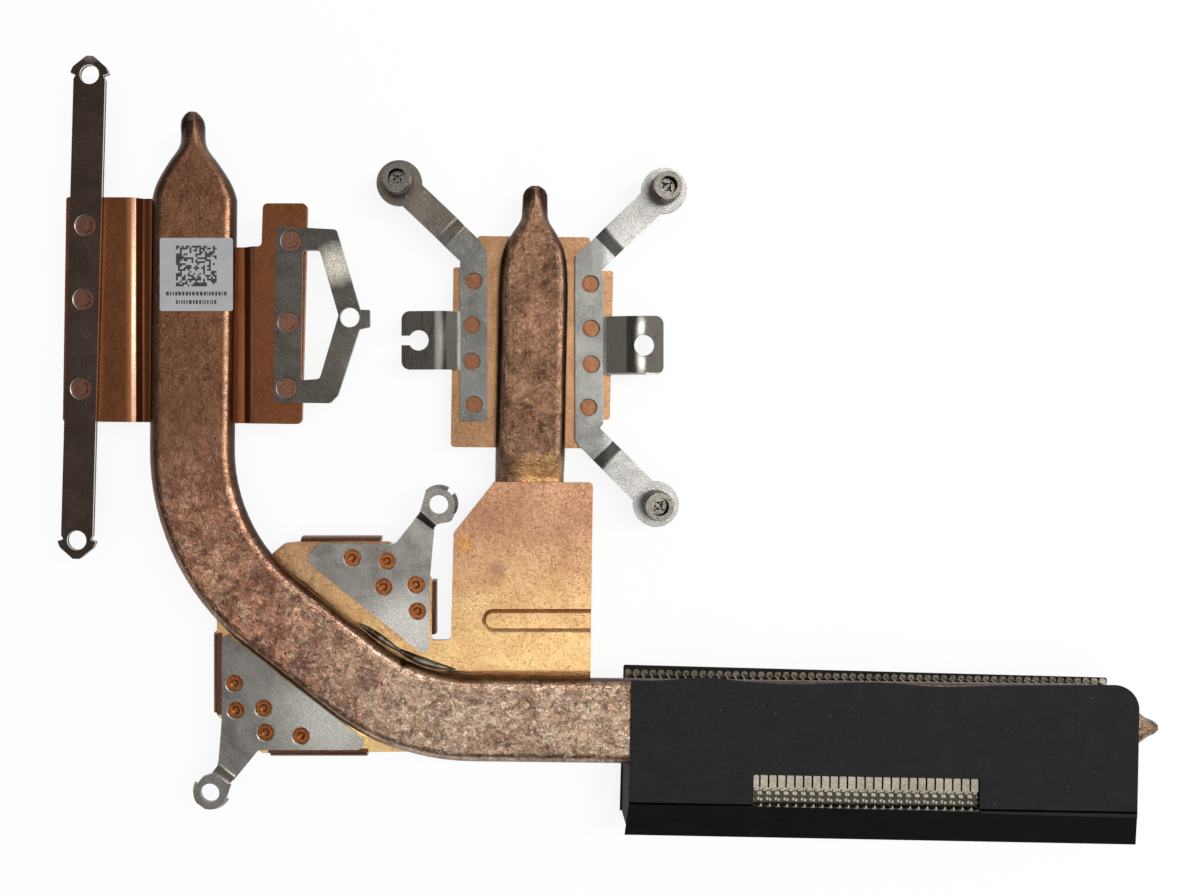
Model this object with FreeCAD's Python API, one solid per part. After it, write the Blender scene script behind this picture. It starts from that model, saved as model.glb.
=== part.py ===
import FreeCAD, Part
import math
import os

# Laptop cooling heatsink: two flattened heat pipes soldered to three copper
# plates and a stack of zipped copper fins, with stamped steel brackets staked
# on the plates. Units are millimetres. While it is drawn, the plan's origin is
# the corner that the straight run of the main pipe makes with its slanted run,
# +X runs along the fin stack and +Z points at the side that carries the screws.

V = FreeCAD.Vector
UP = V(0, 0, 1)

# Heights, from the underside of the film up
FILM_T = 0.1
FIN_HEIGHT = 6.5
PIPE_T = 2.0
PLATE_T = 0.7
STEEL_T = 0.6
WING_RISE = 0.8
PIPE_DIP = 1.5
TAPE_T = 0.15
LABEL_T = 0.08

FIN_TOP = FILM_T + FIN_HEIGHT
PIPE_Z = FIN_TOP - PIPE_T
BASE_Z = PIPE_Z - PLATE_T
LOW_PIPE_Z = BASE_Z - PIPE_T
MIDDLE_Z = LOW_PIPE_Z + PIPE_DIP - PLATE_T
ARM_Z = MIDDLE_Z + PLATE_T
WING_Z = PIPE_Z + WING_RISE

# Main heat pipe
PIPE_W = 12.1
RUN_TOP = V(-0.1, 50.1, 0)
CORNER_1 = V(-0.6, -0.1, 0)
CORNER_2 = V(30.1, -24.3, 0)
RUN_TURN = -0.7
RUN_LENGTH = 97.5
BEND_1 = 29.7
BEND_2 = 28.7
TOP_LEAN = 2.0
# sections drawn between two key ones, and the key ones of each closed pipe end:
# distance along, width and height as shares of the full pipe
END_STEPS = 2
TOP_END = [(0, 1, 1), (1.4, 0.94, 1), (2.9, 0.83, 1), (4.3, 0.69, 1.05), (5.8, 0.52, 1.15),
           (7.2, 0.35, 1.2), (8.2, 0.29, 1.2), (9.7, 0.28, 1.15), (11.2, 0.27, 1.05),
           (12.1, 0.19, 0.75), (12.6, 0.1, 0.4)]
FIN_END = [(0, 1, 1), (3.0, 0.88, 1), (5.5, 0.6, 1), (7.8, 0.35, 1),
           (8.9, 0.22, 0.9), (9.7, 0.17, 0.7), (10.4, 0.09, 0.4)]

# Short heat pipe, drawn along its own axis and turned about the foot of its run
SHORT_W = 10.1
SHORT_FOOT = V(48.05, 10.4, 0)
SHORT_TURN = -1.1
SHORT_RUN = 26.9
SHORT_UNDER = 8.6
DIP_LENGTH = 2.8
DIP_BEND = 2.5
SHORT_END = [(0, 1, 1), (2.9, 0.97, 1), (5.8, 0.87, 1), (7.3, 0.74, 1), (8.7, 0.58, 1), (9.6, 0.46, 0.97),
             (10.4, 0.39, 0.95), (11.6, 0.37, 0.9), (13.1, 0.36, 0.85), (14.5, 0.29, 0.7), (15.1, 0.13, 0.35)]
HIDDEN_END = [(0, 1, 1), (1.2, 0.94, 1), (2.9, 0.66, 1), (4.7, 0.33, 0.95),
              (6.8, 0.36, 0.9), (8.4, 0.32, 0.75), (9.4, 0.14, 0.4)]

# Fin stack, in its own frame: along the stack, then from its front edge back
FIN_COUNT = 58
FIN_PITCH = 1.25
FIN_T = 0.2
FIN_GAP = 0.04
FIN_DEPTH = 21.3
FIN_TURN = -1.1
FIN_CORNER = V(62.0, -40.3, 0)
FIN_SLOPE_DEPTH = 4.2
FIN_SLOPE_DROP = 0.7
WEB_BACK = 0.6
LOBE_W = 1.0
LOBE_ROUND = 0.42
LOBE_START = 6.75
LOBE_END = 8.75
LOBE_GAP = 0.3
# shelf that the fins are zipped along, with its strap and its two rows of pips
SHELF_START = 4.6
SHELF_DROP = 0.35
STRAP = (5.65, 5.95)
STRAP_H = 0.1
PIP_R = 0.28
PIP_H = 0.2
PIPS = ((0.62, 6.35), (0.3, 5.05))
FILM_BACK = (0.6, 0.05)
FILM_START = (0.3, 0.15)
FILM_END = 0.1
FILM_CORNER = 0.3

# Tape over the fins and the pipe
TAPE_EDGE = [(0, 21.8), (4.0, 21.8), (10.0, 22.3), (17.0, 21.85), (25.0, 21.7), (36.0, 22.1),
             (43.0, 21.7), (50.0, 21.9), (60.0, 22.2), (68.8, 22.4)]
TAPE_CORNER = 3.5
TAPE_END = -0.05
WINDOW = (17.7, 49.9)
WINDOW_BACK = 8.65
FOLD_RUNOUT = 0.64
STRIP_OVERHANG = 0.65
STRIP_FLARE = 0.4

# Label on the main pipe
LABEL_SIZE = 10.4
LABEL_CENTRE = V(0.5, 39.25, 0)

# Stakes: copper bosses drawn up from the plates through the steel
STAKE_R = 1.2
STAKE_FIT = 0.02
STAKE_CORE_R = 0.97
STAKE_SINK = 0.12
STAKE_RING_SINK = 0.36
STAKE_BEVEL = 0.12
STAKE_DIMPLE_R = 0.6
STAKE_DIMPLE = 0.22
WIDE_STAKE_R = 1.45
WIDE_STAKE_CORE = 0.93

# Bends in sheet
COPPER_BEND = 0.4
STEEL_BEND = 0.4

# Left plate
LEFT_FLOOR = (-8.2, 7.0)
LEFT_STEP_W = 1.2
LEFT_EDGES = (-19.7, 18.1)
LEFT_OUTLINE = [(-18.7, 50.6, 0.4), (5.0, 50.5), (5.0, 43.5), (9.4, 43.5, 0.6), (9.6, 49.7, 0.7),
                (16.0, 49.7, 0.8), (15.2, 17.9, 0.8), (-19.2, 18.3, 0.4)]

# Left strip
STRIP_W = 4.5
STRIP_TURN = -1.55
STRIP_MIDDLE = V(-16.0, 34.65, 0)
STRIP_HOLE_SPAN = 66.8
STRIP_HOLE_R = 1.4
STRIP_HEAD_W = 5.5
STRIP_SHOULDER = (4.8, 1.05)
STRIP_HEAD_TIP = 2.65
STRIP_HEAD_FLAT = 1.0
STRIP_NECK_W = 3.8
STRIP_STAKES = (11.75, 1.15, -11.65)

# Loop bracket
LOOP_OUTLINE = [(11.7, 46.3, 0.4), (20.3, 45.8, 0.5), (23.7, 34.3, 0.3), (25.1, 34.3, 0.2),
                (25.1, 31.8, 0.2), (23.6, 31.5, 0.3), (20.5, 22.0, 0.5), (19.4, 20.9, 0.8),
                (11.3, 21.0, 0.4)]
LOOP_GAP = [(15.5, 42.8, 0.5), (17.9, 42.8, 0.6), (20.6, 33.5, 0.8), (17.9, 24.4, 0.6),
            (15.2, 24.2, 0.5)]
LOOP_HOLE = (22.2, 33.2)
LOOP_HOLE_R = 1.4
LOOP_STAKES = [(13.8, 44.2), (13.4, 32.5), (13.2, 23.1)]

# Middle plate
MIDDLE_OUTLINE = [(36.9, 40.8, 0.3), (40.4, 40.8), (40.4, 45.4, 0.5), (56.9, 45.2, 0.5), (56.9, 40.3),
                  (60.3, 40.3, 0.4), (59.8, 18.5, 0.5), (58.4, 18.5), (56.0, 14.3, 0.6), (36.5, 14.5, 0.6)]

# Arm brackets on the middle plate
ARM_RISE = 0.8
ARM_RAMP = 1.6
ARM_DISC_R = 3.3
LEFT_BAR = [(37.9, 18.3, 0.4), (41.9, 18.3, 0.4), (41.9, 42.9, 0.8), (40.6, 44.8), (37.9, 42.0, 0.4)]
LEFT_STAKES = [(39.9, 38.7), (39.6, 32.3), (39.6, 27.0), (39.9, 20.7)]
RIGHT_BAR = [(54.7, 15.6, 0.5), (54.7, 42.4, 0.8), (55.5, 43.2), (58.4, 40.3, 0.4), (58.8, 39.4, 0.4),
             (58.8, 18.0, 0.4), (58.2, 17.2, 0.4), (55.4, 14.5)]
RIGHT_STAKES = [(56.9, 38.3), (57.0, 31.8), (57.0, 26.6), (56.6, 20.3)]
# centre of the disc, heading of the arm, its width, its length back to the bar
LEFT_ARM = (V(29.15, 52.8, 0), 136.5, 4.15, 14.2)
RIGHT_ARM_UP = (V(67.5, 51.7, 0), 43.7, 4.1, 14.9)
RIGHT_ARM_DOWN = (V(66.3, 6.3, 0), -45.5, 4.0, 13.8)
TAB_W = 8.5
TAB_CORNER = 1.2
TAB_HOLE_R = 1.48
TAB_SLOT_W = 1.4
LEFT_TAB_REACH = 8.5
LEFT_TAB_CREST = (2.5, 0.7)
LEFT_TAB_DROP = 0.5
LEFT_TAB_BEND = 2.5
LEFT_TAB_Y = 30.05
LEFT_TAB_HOLE = 6.0
RIGHT_TAB_REACH = 8.6
RIGHT_TAB_CREST = (5.2, 1.1)
RIGHT_TAB_DROP = 0.3
RIGHT_TAB_BEND = 5.0
RIGHT_TAB_Y = 29.3
RIGHT_TAB_HOLE = 5.8

# Base plate under the main pipe
BASE_OUTLINE = [(2.7, -9.0), (10.8, -0.8), (12.5, 0.6, 1.0), (14.5, 0.8), (27.7, 0.8, 0.6),
                (33.8, -4.5, 0.4), (33.8, -13.5, 0.4), (36.6, -13.5, 0.6), (37.0, 2.1, 0.4),
                (42.9, 9.5, 0.3), (57.2, 9.4, 0.6), (56.7, -29.3, 0.6), (9.3, -29.8, 0.5),
                (2.7, -24.3, 0.5)]
FLANGE_DROP = 1.4
# middle of each turned-down flange at the plate's edge, heading outwards and length
BASE_FLANGES = [(V(20.6, 0.75, 0), 90, 11.6), (V(33.8, -8.8, 0), 0, 7.7),
                (V(2.65, -18.3, 0), 180, 11.4), (V(17.4, -29.85, 0), -90, 14.0)]
FLANGE_PROUD = 0.7
BEAD_START = 41.1
BEAD_END = 60.0
BEAD_Y = -10.6
BEAD_W = 3.4
BEAD_SLOPE_W = 0.4
BEAD_GROOVE_W = 0.6
BEAD_DEPTH = 0.35

# Corner springs on the base plate
EAR_R = 2.25
EAR_HOLE_R = 1.35
EAR_RISE = 1.3
EAR_RAMP = 0.75
EAR_NECK_W = 3.0
EAR_NECK_ROOT = 1.2
EAR_FLANGE_DROP = 0.6
EAR_FLANGE_PROUD = 0.5
UPPER_OUTLINE = [(15.4, -1.6, 1.3), (17.6, 0.7, 1.3), (28.6, 0.6, 1.0), (32.05, 4.95), (34.25, 2.95),
                 (33.6, -4.4), (33.5, -16.0, 0.9)]
UPPER_EAR = V(35.0, 6.45, 0)
UPPER_HEADING = 53.0
UPPER_SHELF = 3.1
UPPER_FLANGES = ((-30, 35), (58, 130))
UPPER_CHEEKS = [(32.35, 5.55), (33.2, 8.6), (35.0, 6.45), (37.3, 5.1), (36.8, 4.0, 1.0), (34.5, 3.6)]
UPPER_STAKES = [(22.4, -1.4), (27.4, -1.9), (26.9, -5.6), (31.6, -5.3), (31.8, -9.1)]
LOWER_OUTLINE = [(3.6, -11.8, 0.8), (3.6, -24.8), (3.15, -30.5), (2.9, -31.8), (5.3, -33.5),
                 (8.9, -29.1, 0.8), (26.0, -29.1, 1.0)]
LOWER_EAR = V(2.35, -34.7, 0)
LOWER_HEADING = -127.0
LOWER_SHELF = 3.0
LOWER_FLANGES = ((155, 222), (246, 330))
LOWER_CHEEKS = [(5.25, -33.7), (4.65, -35.5), (2.35, -34.7), (0.4, -33.5), (1.3, -32.45, 0.8), (2.75, -32.0)]
LOWER_STAKES = [(5.4, -19.5), (5.6, -23.4), (9.6, -23.1), (9.9, -26.6), (15.0, -27.1)]

# Captive screws and the housings that keep them
HOUSING_R = 2.0
HOUSING_H = 3.0
HOUSING_WALL = 0.25
HOUSING_LIP_R = 1.28
HOUSING_LIP_T = 0.3
HOUSING_SPIGOT_R = 1.7
HOUSING_FLOOR = 0.4
KNURL_COUNT = 32
KNURL_DEPTH = 0.1
KNURL_H = 2.3
KNURL_PROUD = 0.14
THREAD_R = 1.0
THREAD_L = 3.2
SHOULDER_R = 1.25
SHOULDER_FIT = 0.05
HEAD_R = 1.65
HEAD_H = 1.5
HEAD_BEVEL = 0.4
HEAD_LIFT = 0.05
TIP_BEVEL = 0.3
CROSS_REACH = 0.95
CROSS_W = 0.34
CROSS_DEPTH = 0.7
CROSS_CONE_R = 0.6


def turned(shape, angle, about):
    """A copy of the shape, turned about a vertical line."""
    copy = shape.copy()
    copy.rotate(about, UP, angle)
    return copy


def heading(angle):
    """Unit vector in the plan at this angle from +X."""
    return V(math.cos(math.radians(angle)), math.sin(math.radians(angle)), 0)


def corner(before, at, after, radius):
    """Start, middle and end of the arc that rounds one corner of a path."""
    back = (before - at).normalize()
    ahead = (after - at).normalize()
    half = back.getAngle(ahead) / 2
    reach = radius / math.tan(half)
    inward = (back + ahead).normalize()
    centre = at + inward * (radius / math.sin(half))
    return at + back * reach, centre - inward * radius, at + ahead * reach


def path_edges(points, closed):
    """Edges through the points; a third value rounds that corner."""
    spots = [V(p[0], p[1], 0) for p in points]
    stops = []
    for i, point in enumerate(points):
        inner = closed or 0 < i < len(points) - 1
        if len(point) > 2 and point[2] > 0 and inner:
            after = spots[(i + 1) % len(spots)]
            stops.append(corner(spots[i - 1], spots[i], after, point[2]))
        else:
            stops.append((spots[i],))
    edges = []
    for i, stop in enumerate(stops):
        if len(stop) == 3:
            edges.append(Part.Arc(*stop).toShape())
        if closed or i < len(stops) - 1:
            start, end = stop[-1], stops[(i + 1) % len(stops)][0]
            if start.distanceToPoint(end) > 1e-6:
                edges.append(Part.LineSegment(start, end).toShape())
    return edges


def prism(points, z, height):
    """Upright solid over a plan outline."""
    face = Part.Face(Part.Wire(path_edges(points, True)))
    solid = face.extrude(UP * height)
    solid.translate(UP * z)
    return solid


def cylinder(x, y, z, radius, height):
    return Part.makeCylinder(radius, height, V(x, y, z), UP)


def cone(x, y, z, r_low, r_high, height):
    return Part.makeCone(r_low, r_high, height, V(x, y, z), UP)


def sheet_outline(path, thickness):
    """Outline of a bent sheet, given its underside and the bends' inner radii."""
    spots = [V(p[0], p[1], 0) for p in path]
    normals = []
    for start, end in zip(spots, spots[1:]):
        along = (end - start).normalize()
        normals.append(V(-along.y, along.x, 0))
    under = []
    over = []
    for i, spot in enumerate(spots):
        first = normals[max(i - 1, 0)]
        last = normals[min(i, len(normals) - 1)]
        shift = (first + last) * (thickness / (1 + first.dot(last)))
        bend = path[i][2] if len(path[i]) > 2 else 0
        rising = first.cross(last).z > 0
        top = spot + shift
        under.append((spot.x, spot.y, bend + thickness if bend and rising else bend))
        over.append((top.x, top.y, bend + thickness if bend and not rising else bend))
    return under + over[::-1]


def folded(path, thickness, width, start, angle):
    """Bent sheet of one width that runs from a point in the plan at a heading."""
    face = Part.Face(Part.Wire(path_edges(sheet_outline(path, thickness), True)))
    solid = face.extrude(UP * width)
    solid.rotate(V(), V(1, 0, 0), 90)
    solid.translate(V(0, width / 2, 0))
    solid.rotate(V(), UP, angle)
    solid.translate(start)
    return solid


def joined(first, others):
    return first.fuse(others).removeSplitter()


def section(width, height, at, angle):
    """Flat pipe's section, upright across a heading, with round sides."""
    across = heading(angle + 90)
    flat = across * (width / 2 - height / 2)
    side = across * (width / 2)
    rise = UP * (height / 2)
    edges = [Part.LineSegment(at - flat - rise, at + flat - rise).toShape(),
             Part.Arc(at + flat - rise, at + side, at + flat + rise).toShape(),
             Part.LineSegment(at + flat + rise, at - flat + rise).toShape(),
             Part.Arc(at - flat + rise, at - side, at - flat - rise).toShape()]
    return Part.Wire(edges)


def eased(keys):
    """Key sections with others between them, their widths on a smooth curve."""
    curve = Part.BSplineCurve()
    curve.interpolate([V(along, wide, 0) for along, wide, high in keys])
    spans = [curve.parameter(V(along, wide, 0)) for along, wide, high in keys]
    rows = [keys[0]]
    for i in range(1, len(keys)):
        for step in range(1, END_STEPS + 1):
            share = step / END_STEPS
            spot = curve.value(spans[i - 1] + (spans[i] - spans[i - 1]) * share)
            high = keys[i - 1][2] + (keys[i][2] - keys[i - 1][2]) * share
            rows.append((spot.x, min(spot.y, 1), high))
    return rows


def pipe_end(keys, width, at, angle, lean=0):
    """Closed end of a pipe: the flat pipe draws in to a neck and a pinched tip.

    The tip may lean to the side of the pipe's axis."""
    aim = heading(angle) + heading(angle + 90) * math.tan(math.radians(lean))
    wires = []
    for along, wide, high in eased(keys):
        height = PIPE_T * high
        wires.append(section(max(width * wide, height * 1.05), height, at + aim * along, angle))
    return Part.makeLoft(wires, True, True)


def swept(edges, width, at, angle):
    """Flat pipe swept along a path that starts at a point at a heading."""
    return Part.Wire(edges).makePipeShell([section(width, PIPE_T, at, angle)], True, False)


def run_point(along):
    """Point on the main pipe's last run."""
    return CORNER_2 + heading(RUN_TURN) * along


def main_heat_pipe():
    middle = UP * (PIPE_Z + PIPE_T / 2)
    end = run_point(RUN_LENGTH)
    points = [RUN_TOP, CORNER_1, CORNER_2, end]
    radii = [0, BEND_1, BEND_2, 0]
    edges = path_edges([(p.x, p.y, r) for p, r in zip(points, radii)], False)
    edges = [edge.translated(middle) for edge in edges]
    first = CORNER_1 - RUN_TOP
    down = math.degrees(math.atan2(first.y, first.x))
    body = swept(edges, PIPE_W, RUN_TOP + middle, down)
    top = pipe_end(TOP_END, PIPE_W, RUN_TOP + middle, down + 180, TOP_LEAN)
    tail = pipe_end(FIN_END, PIPE_W, end + middle, RUN_TURN)
    return joined(body, [top, tail])


def short_heat_pipe():
    """Runs down the middle plate, dips and ends under the base plate."""
    high = LOW_PIPE_Z + PIPE_DIP + PIPE_T / 2
    low = LOW_PIPE_Z + PIPE_T / 2
    profile = [(SHORT_RUN, high), (DIP_LENGTH, high, DIP_BEND), (0, low, DIP_BEND), (-SHORT_UNDER, low)]
    wire = Part.Wire(path_edges(profile, False))
    wire.rotate(V(), V(1, 0, 0), 90)
    wire.rotate(V(), UP, 90)
    body = swept(wire.Edges, SHORT_W, V(0, SHORT_RUN, high), -90)
    top = pipe_end(SHORT_END, SHORT_W, V(0, SHORT_RUN, high), 90)
    hidden = pipe_end(HIDDEN_END, SHORT_W, V(0, -SHORT_UNDER, low), -90)
    solid = turned(joined(body, [top, hidden]), SHORT_TURN, V())
    solid.translate(SHORT_FOOT)
    return solid


def stake(x, y, z):
    """Boss that fills the steel's hole and stands up at its core."""
    foot = cylinder(x, y, z, STAKE_R - STAKE_FIT, STEEL_T - STAKE_RING_SINK)
    return foot.fuse(cylinder(x, y, z, STAKE_CORE_R, STEEL_T - STAKE_SINK))


def struck_stake(x, y, z):
    """Boss whose core is struck with a cone-shaped dimple."""
    top = z + STEEL_T - STAKE_SINK
    dimple = cone(x, y, top - STAKE_DIMPLE, STAKE_DIMPLE_R / 2, STAKE_DIMPLE_R, STAKE_DIMPLE)
    return stake(x, y, z).cut(dimple)


def wide_stake(x, y, z):
    """Wider boss with a narrow core that stands in the hole."""
    foot = cylinder(x, y, z, WIDE_STAKE_R - STAKE_FIT, STEEL_T / 2)
    return foot.fuse(cylinder(x, y, z, WIDE_STAKE_CORE, STEEL_T))


def stake_hole(x, y, z, radius):
    """Cutter for a hole whose upper rim is broken by a small bevel."""
    hole = cylinder(x, y, z, radius, STEEL_T)
    rim = cone(x, y, z + STEEL_T - STAKE_BEVEL, radius, radius + STAKE_BEVEL, STAKE_BEVEL)
    return hole.fuse(rim)


def strip_point(x, y):
    """Point of the strip's own frame, in the plan."""
    spot = V(x, y, 0)
    return STRIP_MIDDLE + heading(STRIP_TURN) * spot.x + heading(STRIP_TURN + 90) * spot.y


def strip_stake_points():
    return [strip_point(0, y) for y in STRIP_STAKES]


def left_plate():
    """Plate with a sunk floor for the pipe between two raised wings."""
    low, high = BASE_Z, BASE_Z + WING_RISE
    path = [(LEFT_EDGES[0] - 1, high), (LEFT_FLOOR[0] - LEFT_STEP_W, high, COPPER_BEND),
            (LEFT_FLOOR[0], low, COPPER_BEND), (LEFT_FLOOR[1], low, COPPER_BEND),
            (LEFT_FLOOR[1] + LEFT_STEP_W, high, COPPER_BEND), (LEFT_EDGES[1], high)]
    tops = [p[1] for p in LEFT_OUTLINE]
    middle = (max(tops) + min(tops)) / 2
    sheet = folded(path, PLATE_T, max(tops) - min(tops) + 2, V(0, middle, 0), 0)
    plate = sheet.common(prism(LEFT_OUTLINE, 0, FIN_TOP))
    bosses = [wide_stake(p.x, p.y, WING_Z) for p in strip_stake_points()]
    bosses += [wide_stake(x, y, WING_Z) for x, y in LOOP_STAKES]
    return joined(plate, bosses)


def left_strip():
    """Long strip with an arrow-shaped head and a screw hole at each end."""
    half = STRIP_HOLE_SPAN / 2
    side = [(STRIP_W / 2, half - 0.7, 0.3), (STRIP_NECK_W / 2, half - 0.1, 0.15),
            (STRIP_HEAD_W / 2, half + 0.15, 0.15), (STRIP_SHOULDER[0] / 2, half + STRIP_SHOULDER[1], 1.0),
            (STRIP_HEAD_FLAT / 2, half + STRIP_HEAD_TIP, 0.3)]
    top = side + [(-x, y, r) for x, y, r in side[::-1]]
    solid = prism(top + [(-x, -y, r) for x, y, r in top], 0, STEEL_T)
    holes = [cylinder(0, y, 0, STRIP_HOLE_R, STEEL_T) for y in (half, -half)]
    solid = solid.cut(holes)
    solid.rotate(V(), UP, STRIP_TURN)
    solid.translate(STRIP_MIDDLE + UP * WING_Z)
    return solid.cut([stake_hole(p.x, p.y, WING_Z, WIDE_STAKE_R) for p in strip_stake_points()])


def loop_bracket():
    """Flat five-sided loop that carries one screw hole at its outer point."""
    solid = prism(LOOP_OUTLINE, WING_Z, STEEL_T)
    cuts = [prism(LOOP_GAP, WING_Z, STEEL_T), cylinder(*LOOP_HOLE, WING_Z, LOOP_HOLE_R, STEEL_T)]
    cuts += [stake_hole(x, y, WING_Z, WIDE_STAKE_R) for x, y in LOOP_STAKES]
    return solid.cut(cuts)


def middle_plate():
    plate = prism(MIDDLE_OUTLINE, MIDDLE_Z, PLATE_T)
    bosses = [stake(x, y, ARM_Z) for x, y in LEFT_STAKES + RIGHT_STAKES]
    return joined(plate, bosses)


def arm(centre, angle, width, length):
    """Arm that steps up from the bar to a disc, with the housing's hole."""
    root = centre - heading(angle) * length
    step = length * 0.23
    path = [(0, 0), (step, 0, STEEL_BEND), (step + ARM_RAMP, ARM_RISE, STEEL_BEND), (length, ARM_RISE)]
    sheet = folded(path, STEEL_T, width, root + UP * ARM_Z, angle)
    disc = cylinder(centre.x, centre.y, ARM_Z + ARM_RISE, ARM_DISC_R, STEEL_T)
    hole = cylinder(centre.x, centre.y, ARM_Z, HOUSING_SPIGOT_R, ARM_RISE + STEEL_T)
    return sheet.fuse(disc).cut(hole)


def tab(start, angle, reach, crest, drop, bend, inset):
    """Side tab that climbs to a rounded crest and falls away to its end."""
    path = [(-inset, 0), (0, 0, STEEL_BEND), (crest[0], crest[1], bend), (reach, crest[1] - drop)]
    sheet = folded(path, STEEL_T, TAB_W, start + UP * ARM_Z, angle)
    half = TAB_W / 2
    plan = prism([(-inset, -half), (reach, -half, TAB_CORNER), (reach, half, TAB_CORNER),
                  (-inset, half)], 0, FIN_TOP)
    plan.rotate(V(), UP, angle)
    plan.translate(start)
    return sheet.common(plan)


def left_arm_bracket():
    bar = prism(LEFT_BAR, ARM_Z, STEEL_T)
    edge = V(LEFT_BAR[0][0], LEFT_TAB_Y, 0)
    side = tab(edge, 180, LEFT_TAB_REACH, LEFT_TAB_CREST, LEFT_TAB_DROP, LEFT_TAB_BEND, 1.5)
    solid = joined(bar, [arm(*LEFT_ARM), side])
    hole = edge - V(LEFT_TAB_HOLE, 0, 0)
    cuts = [cylinder(hole.x, hole.y, 0, TAB_HOLE_R, FIN_TOP)]
    slot = Part.makeBox(LEFT_TAB_REACH, TAB_SLOT_W, FIN_TOP)
    slot.translate(hole - V(LEFT_TAB_REACH, TAB_SLOT_W / 2, 0))
    cuts.append(slot)
    cuts += [stake_hole(x, y, ARM_Z, STAKE_R) for x, y in LEFT_STAKES]
    return solid.cut(cuts)


def right_arm_bracket():
    bar = prism(RIGHT_BAR, ARM_Z, STEEL_T)
    edge = V(RIGHT_BAR[4][0], RIGHT_TAB_Y, 0)
    side = tab(edge, 0, RIGHT_TAB_REACH, RIGHT_TAB_CREST, RIGHT_TAB_DROP, RIGHT_TAB_BEND, 1.5)
    solid = joined(bar, [arm(*RIGHT_ARM_UP), arm(*RIGHT_ARM_DOWN), side])
    cuts = [cylinder(edge.x + RIGHT_TAB_HOLE, edge.y, 0, TAB_HOLE_R, FIN_TOP)]
    cuts += [stake_hole(x, y, ARM_Z, STAKE_R) for x, y in RIGHT_STAKES]
    return solid.cut(cuts)


def stadium(length, width, x, y):
    """Plan outline of a slot that starts round and runs along +X."""
    half = width / 2
    return [(x, y - half, half - 0.01), (x + length, y - half), (x + length, y + half),
            (x, y + half, half - 0.01)]


def bead_outline(inset):
    return stadium(BEAD_END - BEAD_START, BEAD_W - 2 * inset, BEAD_START + inset, BEAD_Y)


def bead_groove():
    """Cutter for the groove round the bead's tongue, with a sloped outer wall."""
    rims = []
    for inset, z in ((BEAD_SLOPE_W, PIPE_Z - BEAD_DEPTH), (0, PIPE_Z)):
        wire = Part.Wire(path_edges(bead_outline(inset), True))
        wire.translate(UP * z)
        rims.append(wire)
    return Part.makeLoft(rims, True, True).cut(prism(bead_outline(BEAD_GROOVE_W), BASE_Z, PLATE_T))


def base_plate():
    """Plate that carries the main pipe, with turned-down edges and a pressed bead."""
    plate = prism(BASE_OUTLINE, BASE_Z, PLATE_T)
    flat = 2.0
    reach = FLANGE_PROUD - PLATE_T
    parts = []
    for at, angle, length in BASE_FLANGES:
        path = [(-flat, 0), (reach, 0, COPPER_BEND), (reach, -FLANGE_DROP)]
        parts.append(folded(path, PLATE_T, length, at + UP * BASE_Z, angle))
    raised = prism(bead_outline(0), BASE_Z - BEAD_DEPTH, BEAD_DEPTH)
    parts.append(raised.common(prism(BASE_OUTLINE, BASE_Z - BEAD_DEPTH, BEAD_DEPTH)))
    parts += [struck_stake(x, y, PIPE_Z) for x, y in UPPER_STAKES + LOWER_STAKES]
    return joined(plate, parts).cut(bead_groove())


def ear_flange(centre, start, end):
    """Part of the ear's rim that is turned down, between two angles."""
    z = PIPE_Z + EAR_RISE
    inner, outer = EAR_R - EAR_HOLE_R / 2, EAR_R + EAR_FLANGE_PROUD
    low, half = z - EAR_FLANGE_DROP, STEEL_T / 2
    edge = [(inner, z), (EAR_R, z), (outer - half, low), (outer, low), (outer, low + half),
            (EAR_R + 0.1, z + STEEL_T), (inner, z + STEEL_T)]
    points = [V(x, 0, height) for x, height in edge]
    face = Part.Face(Part.makePolygon(points + points[:1]))
    solid = turned(face.revolve(V(), UP, end - start), start, V())
    solid.translate(centre)
    return solid


def ear(centre, angle, shelf, flanges, cheeks):
    """Raised ear beyond a short ramp, with two turned-down flanges."""
    length = EAR_NECK_ROOT + shelf
    root = centre - heading(angle) * length
    top = EAR_NECK_ROOT + EAR_RAMP
    path = [(0, 0), (EAR_NECK_ROOT, 0, STEEL_BEND), (top, EAR_RISE, STEEL_BEND), (length, EAR_RISE)]
    solid = folded(path, STEEL_T, EAR_NECK_W, root + UP * PIPE_Z, angle)
    raised = PIPE_Z + EAR_RISE
    parts = [cylinder(centre.x, centre.y, raised, EAR_R, STEEL_T), prism(cheeks, raised, STEEL_T)]
    parts += [ear_flange(centre, start, end) for start, end in flanges]
    return solid.fuse(parts)


def corner_spring(outline, centre, angle, shelf, flanges, cheeks, stakes):
    plate = prism(outline, PIPE_Z, STEEL_T)
    solid = joined(plate, [ear(centre, angle, shelf, flanges, cheeks)])
    cuts = [cylinder(centre.x, centre.y, 0, EAR_HOLE_R, FIN_TOP + HOUSING_H)]
    cuts += [stake_hole(x, y, PIPE_Z, STAKE_R) for x, y in stakes]
    return solid.cut(cuts)


def upper_corner_spring():
    return corner_spring(UPPER_OUTLINE, UPPER_EAR, UPPER_HEADING, UPPER_SHELF, UPPER_FLANGES,
                         UPPER_CHEEKS, UPPER_STAKES)


def lower_corner_spring():
    return corner_spring(LOWER_OUTLINE, LOWER_EAR, LOWER_HEADING, LOWER_SHELF, LOWER_FLANGES,
                         LOWER_CHEEKS, LOWER_STAKES)


def to_stack(shape):
    """Carries a shape from the fin stack's own frame to the plan."""
    placed = turned(shape, FIN_TURN, V())
    placed.translate(FIN_CORNER)
    return placed


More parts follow.
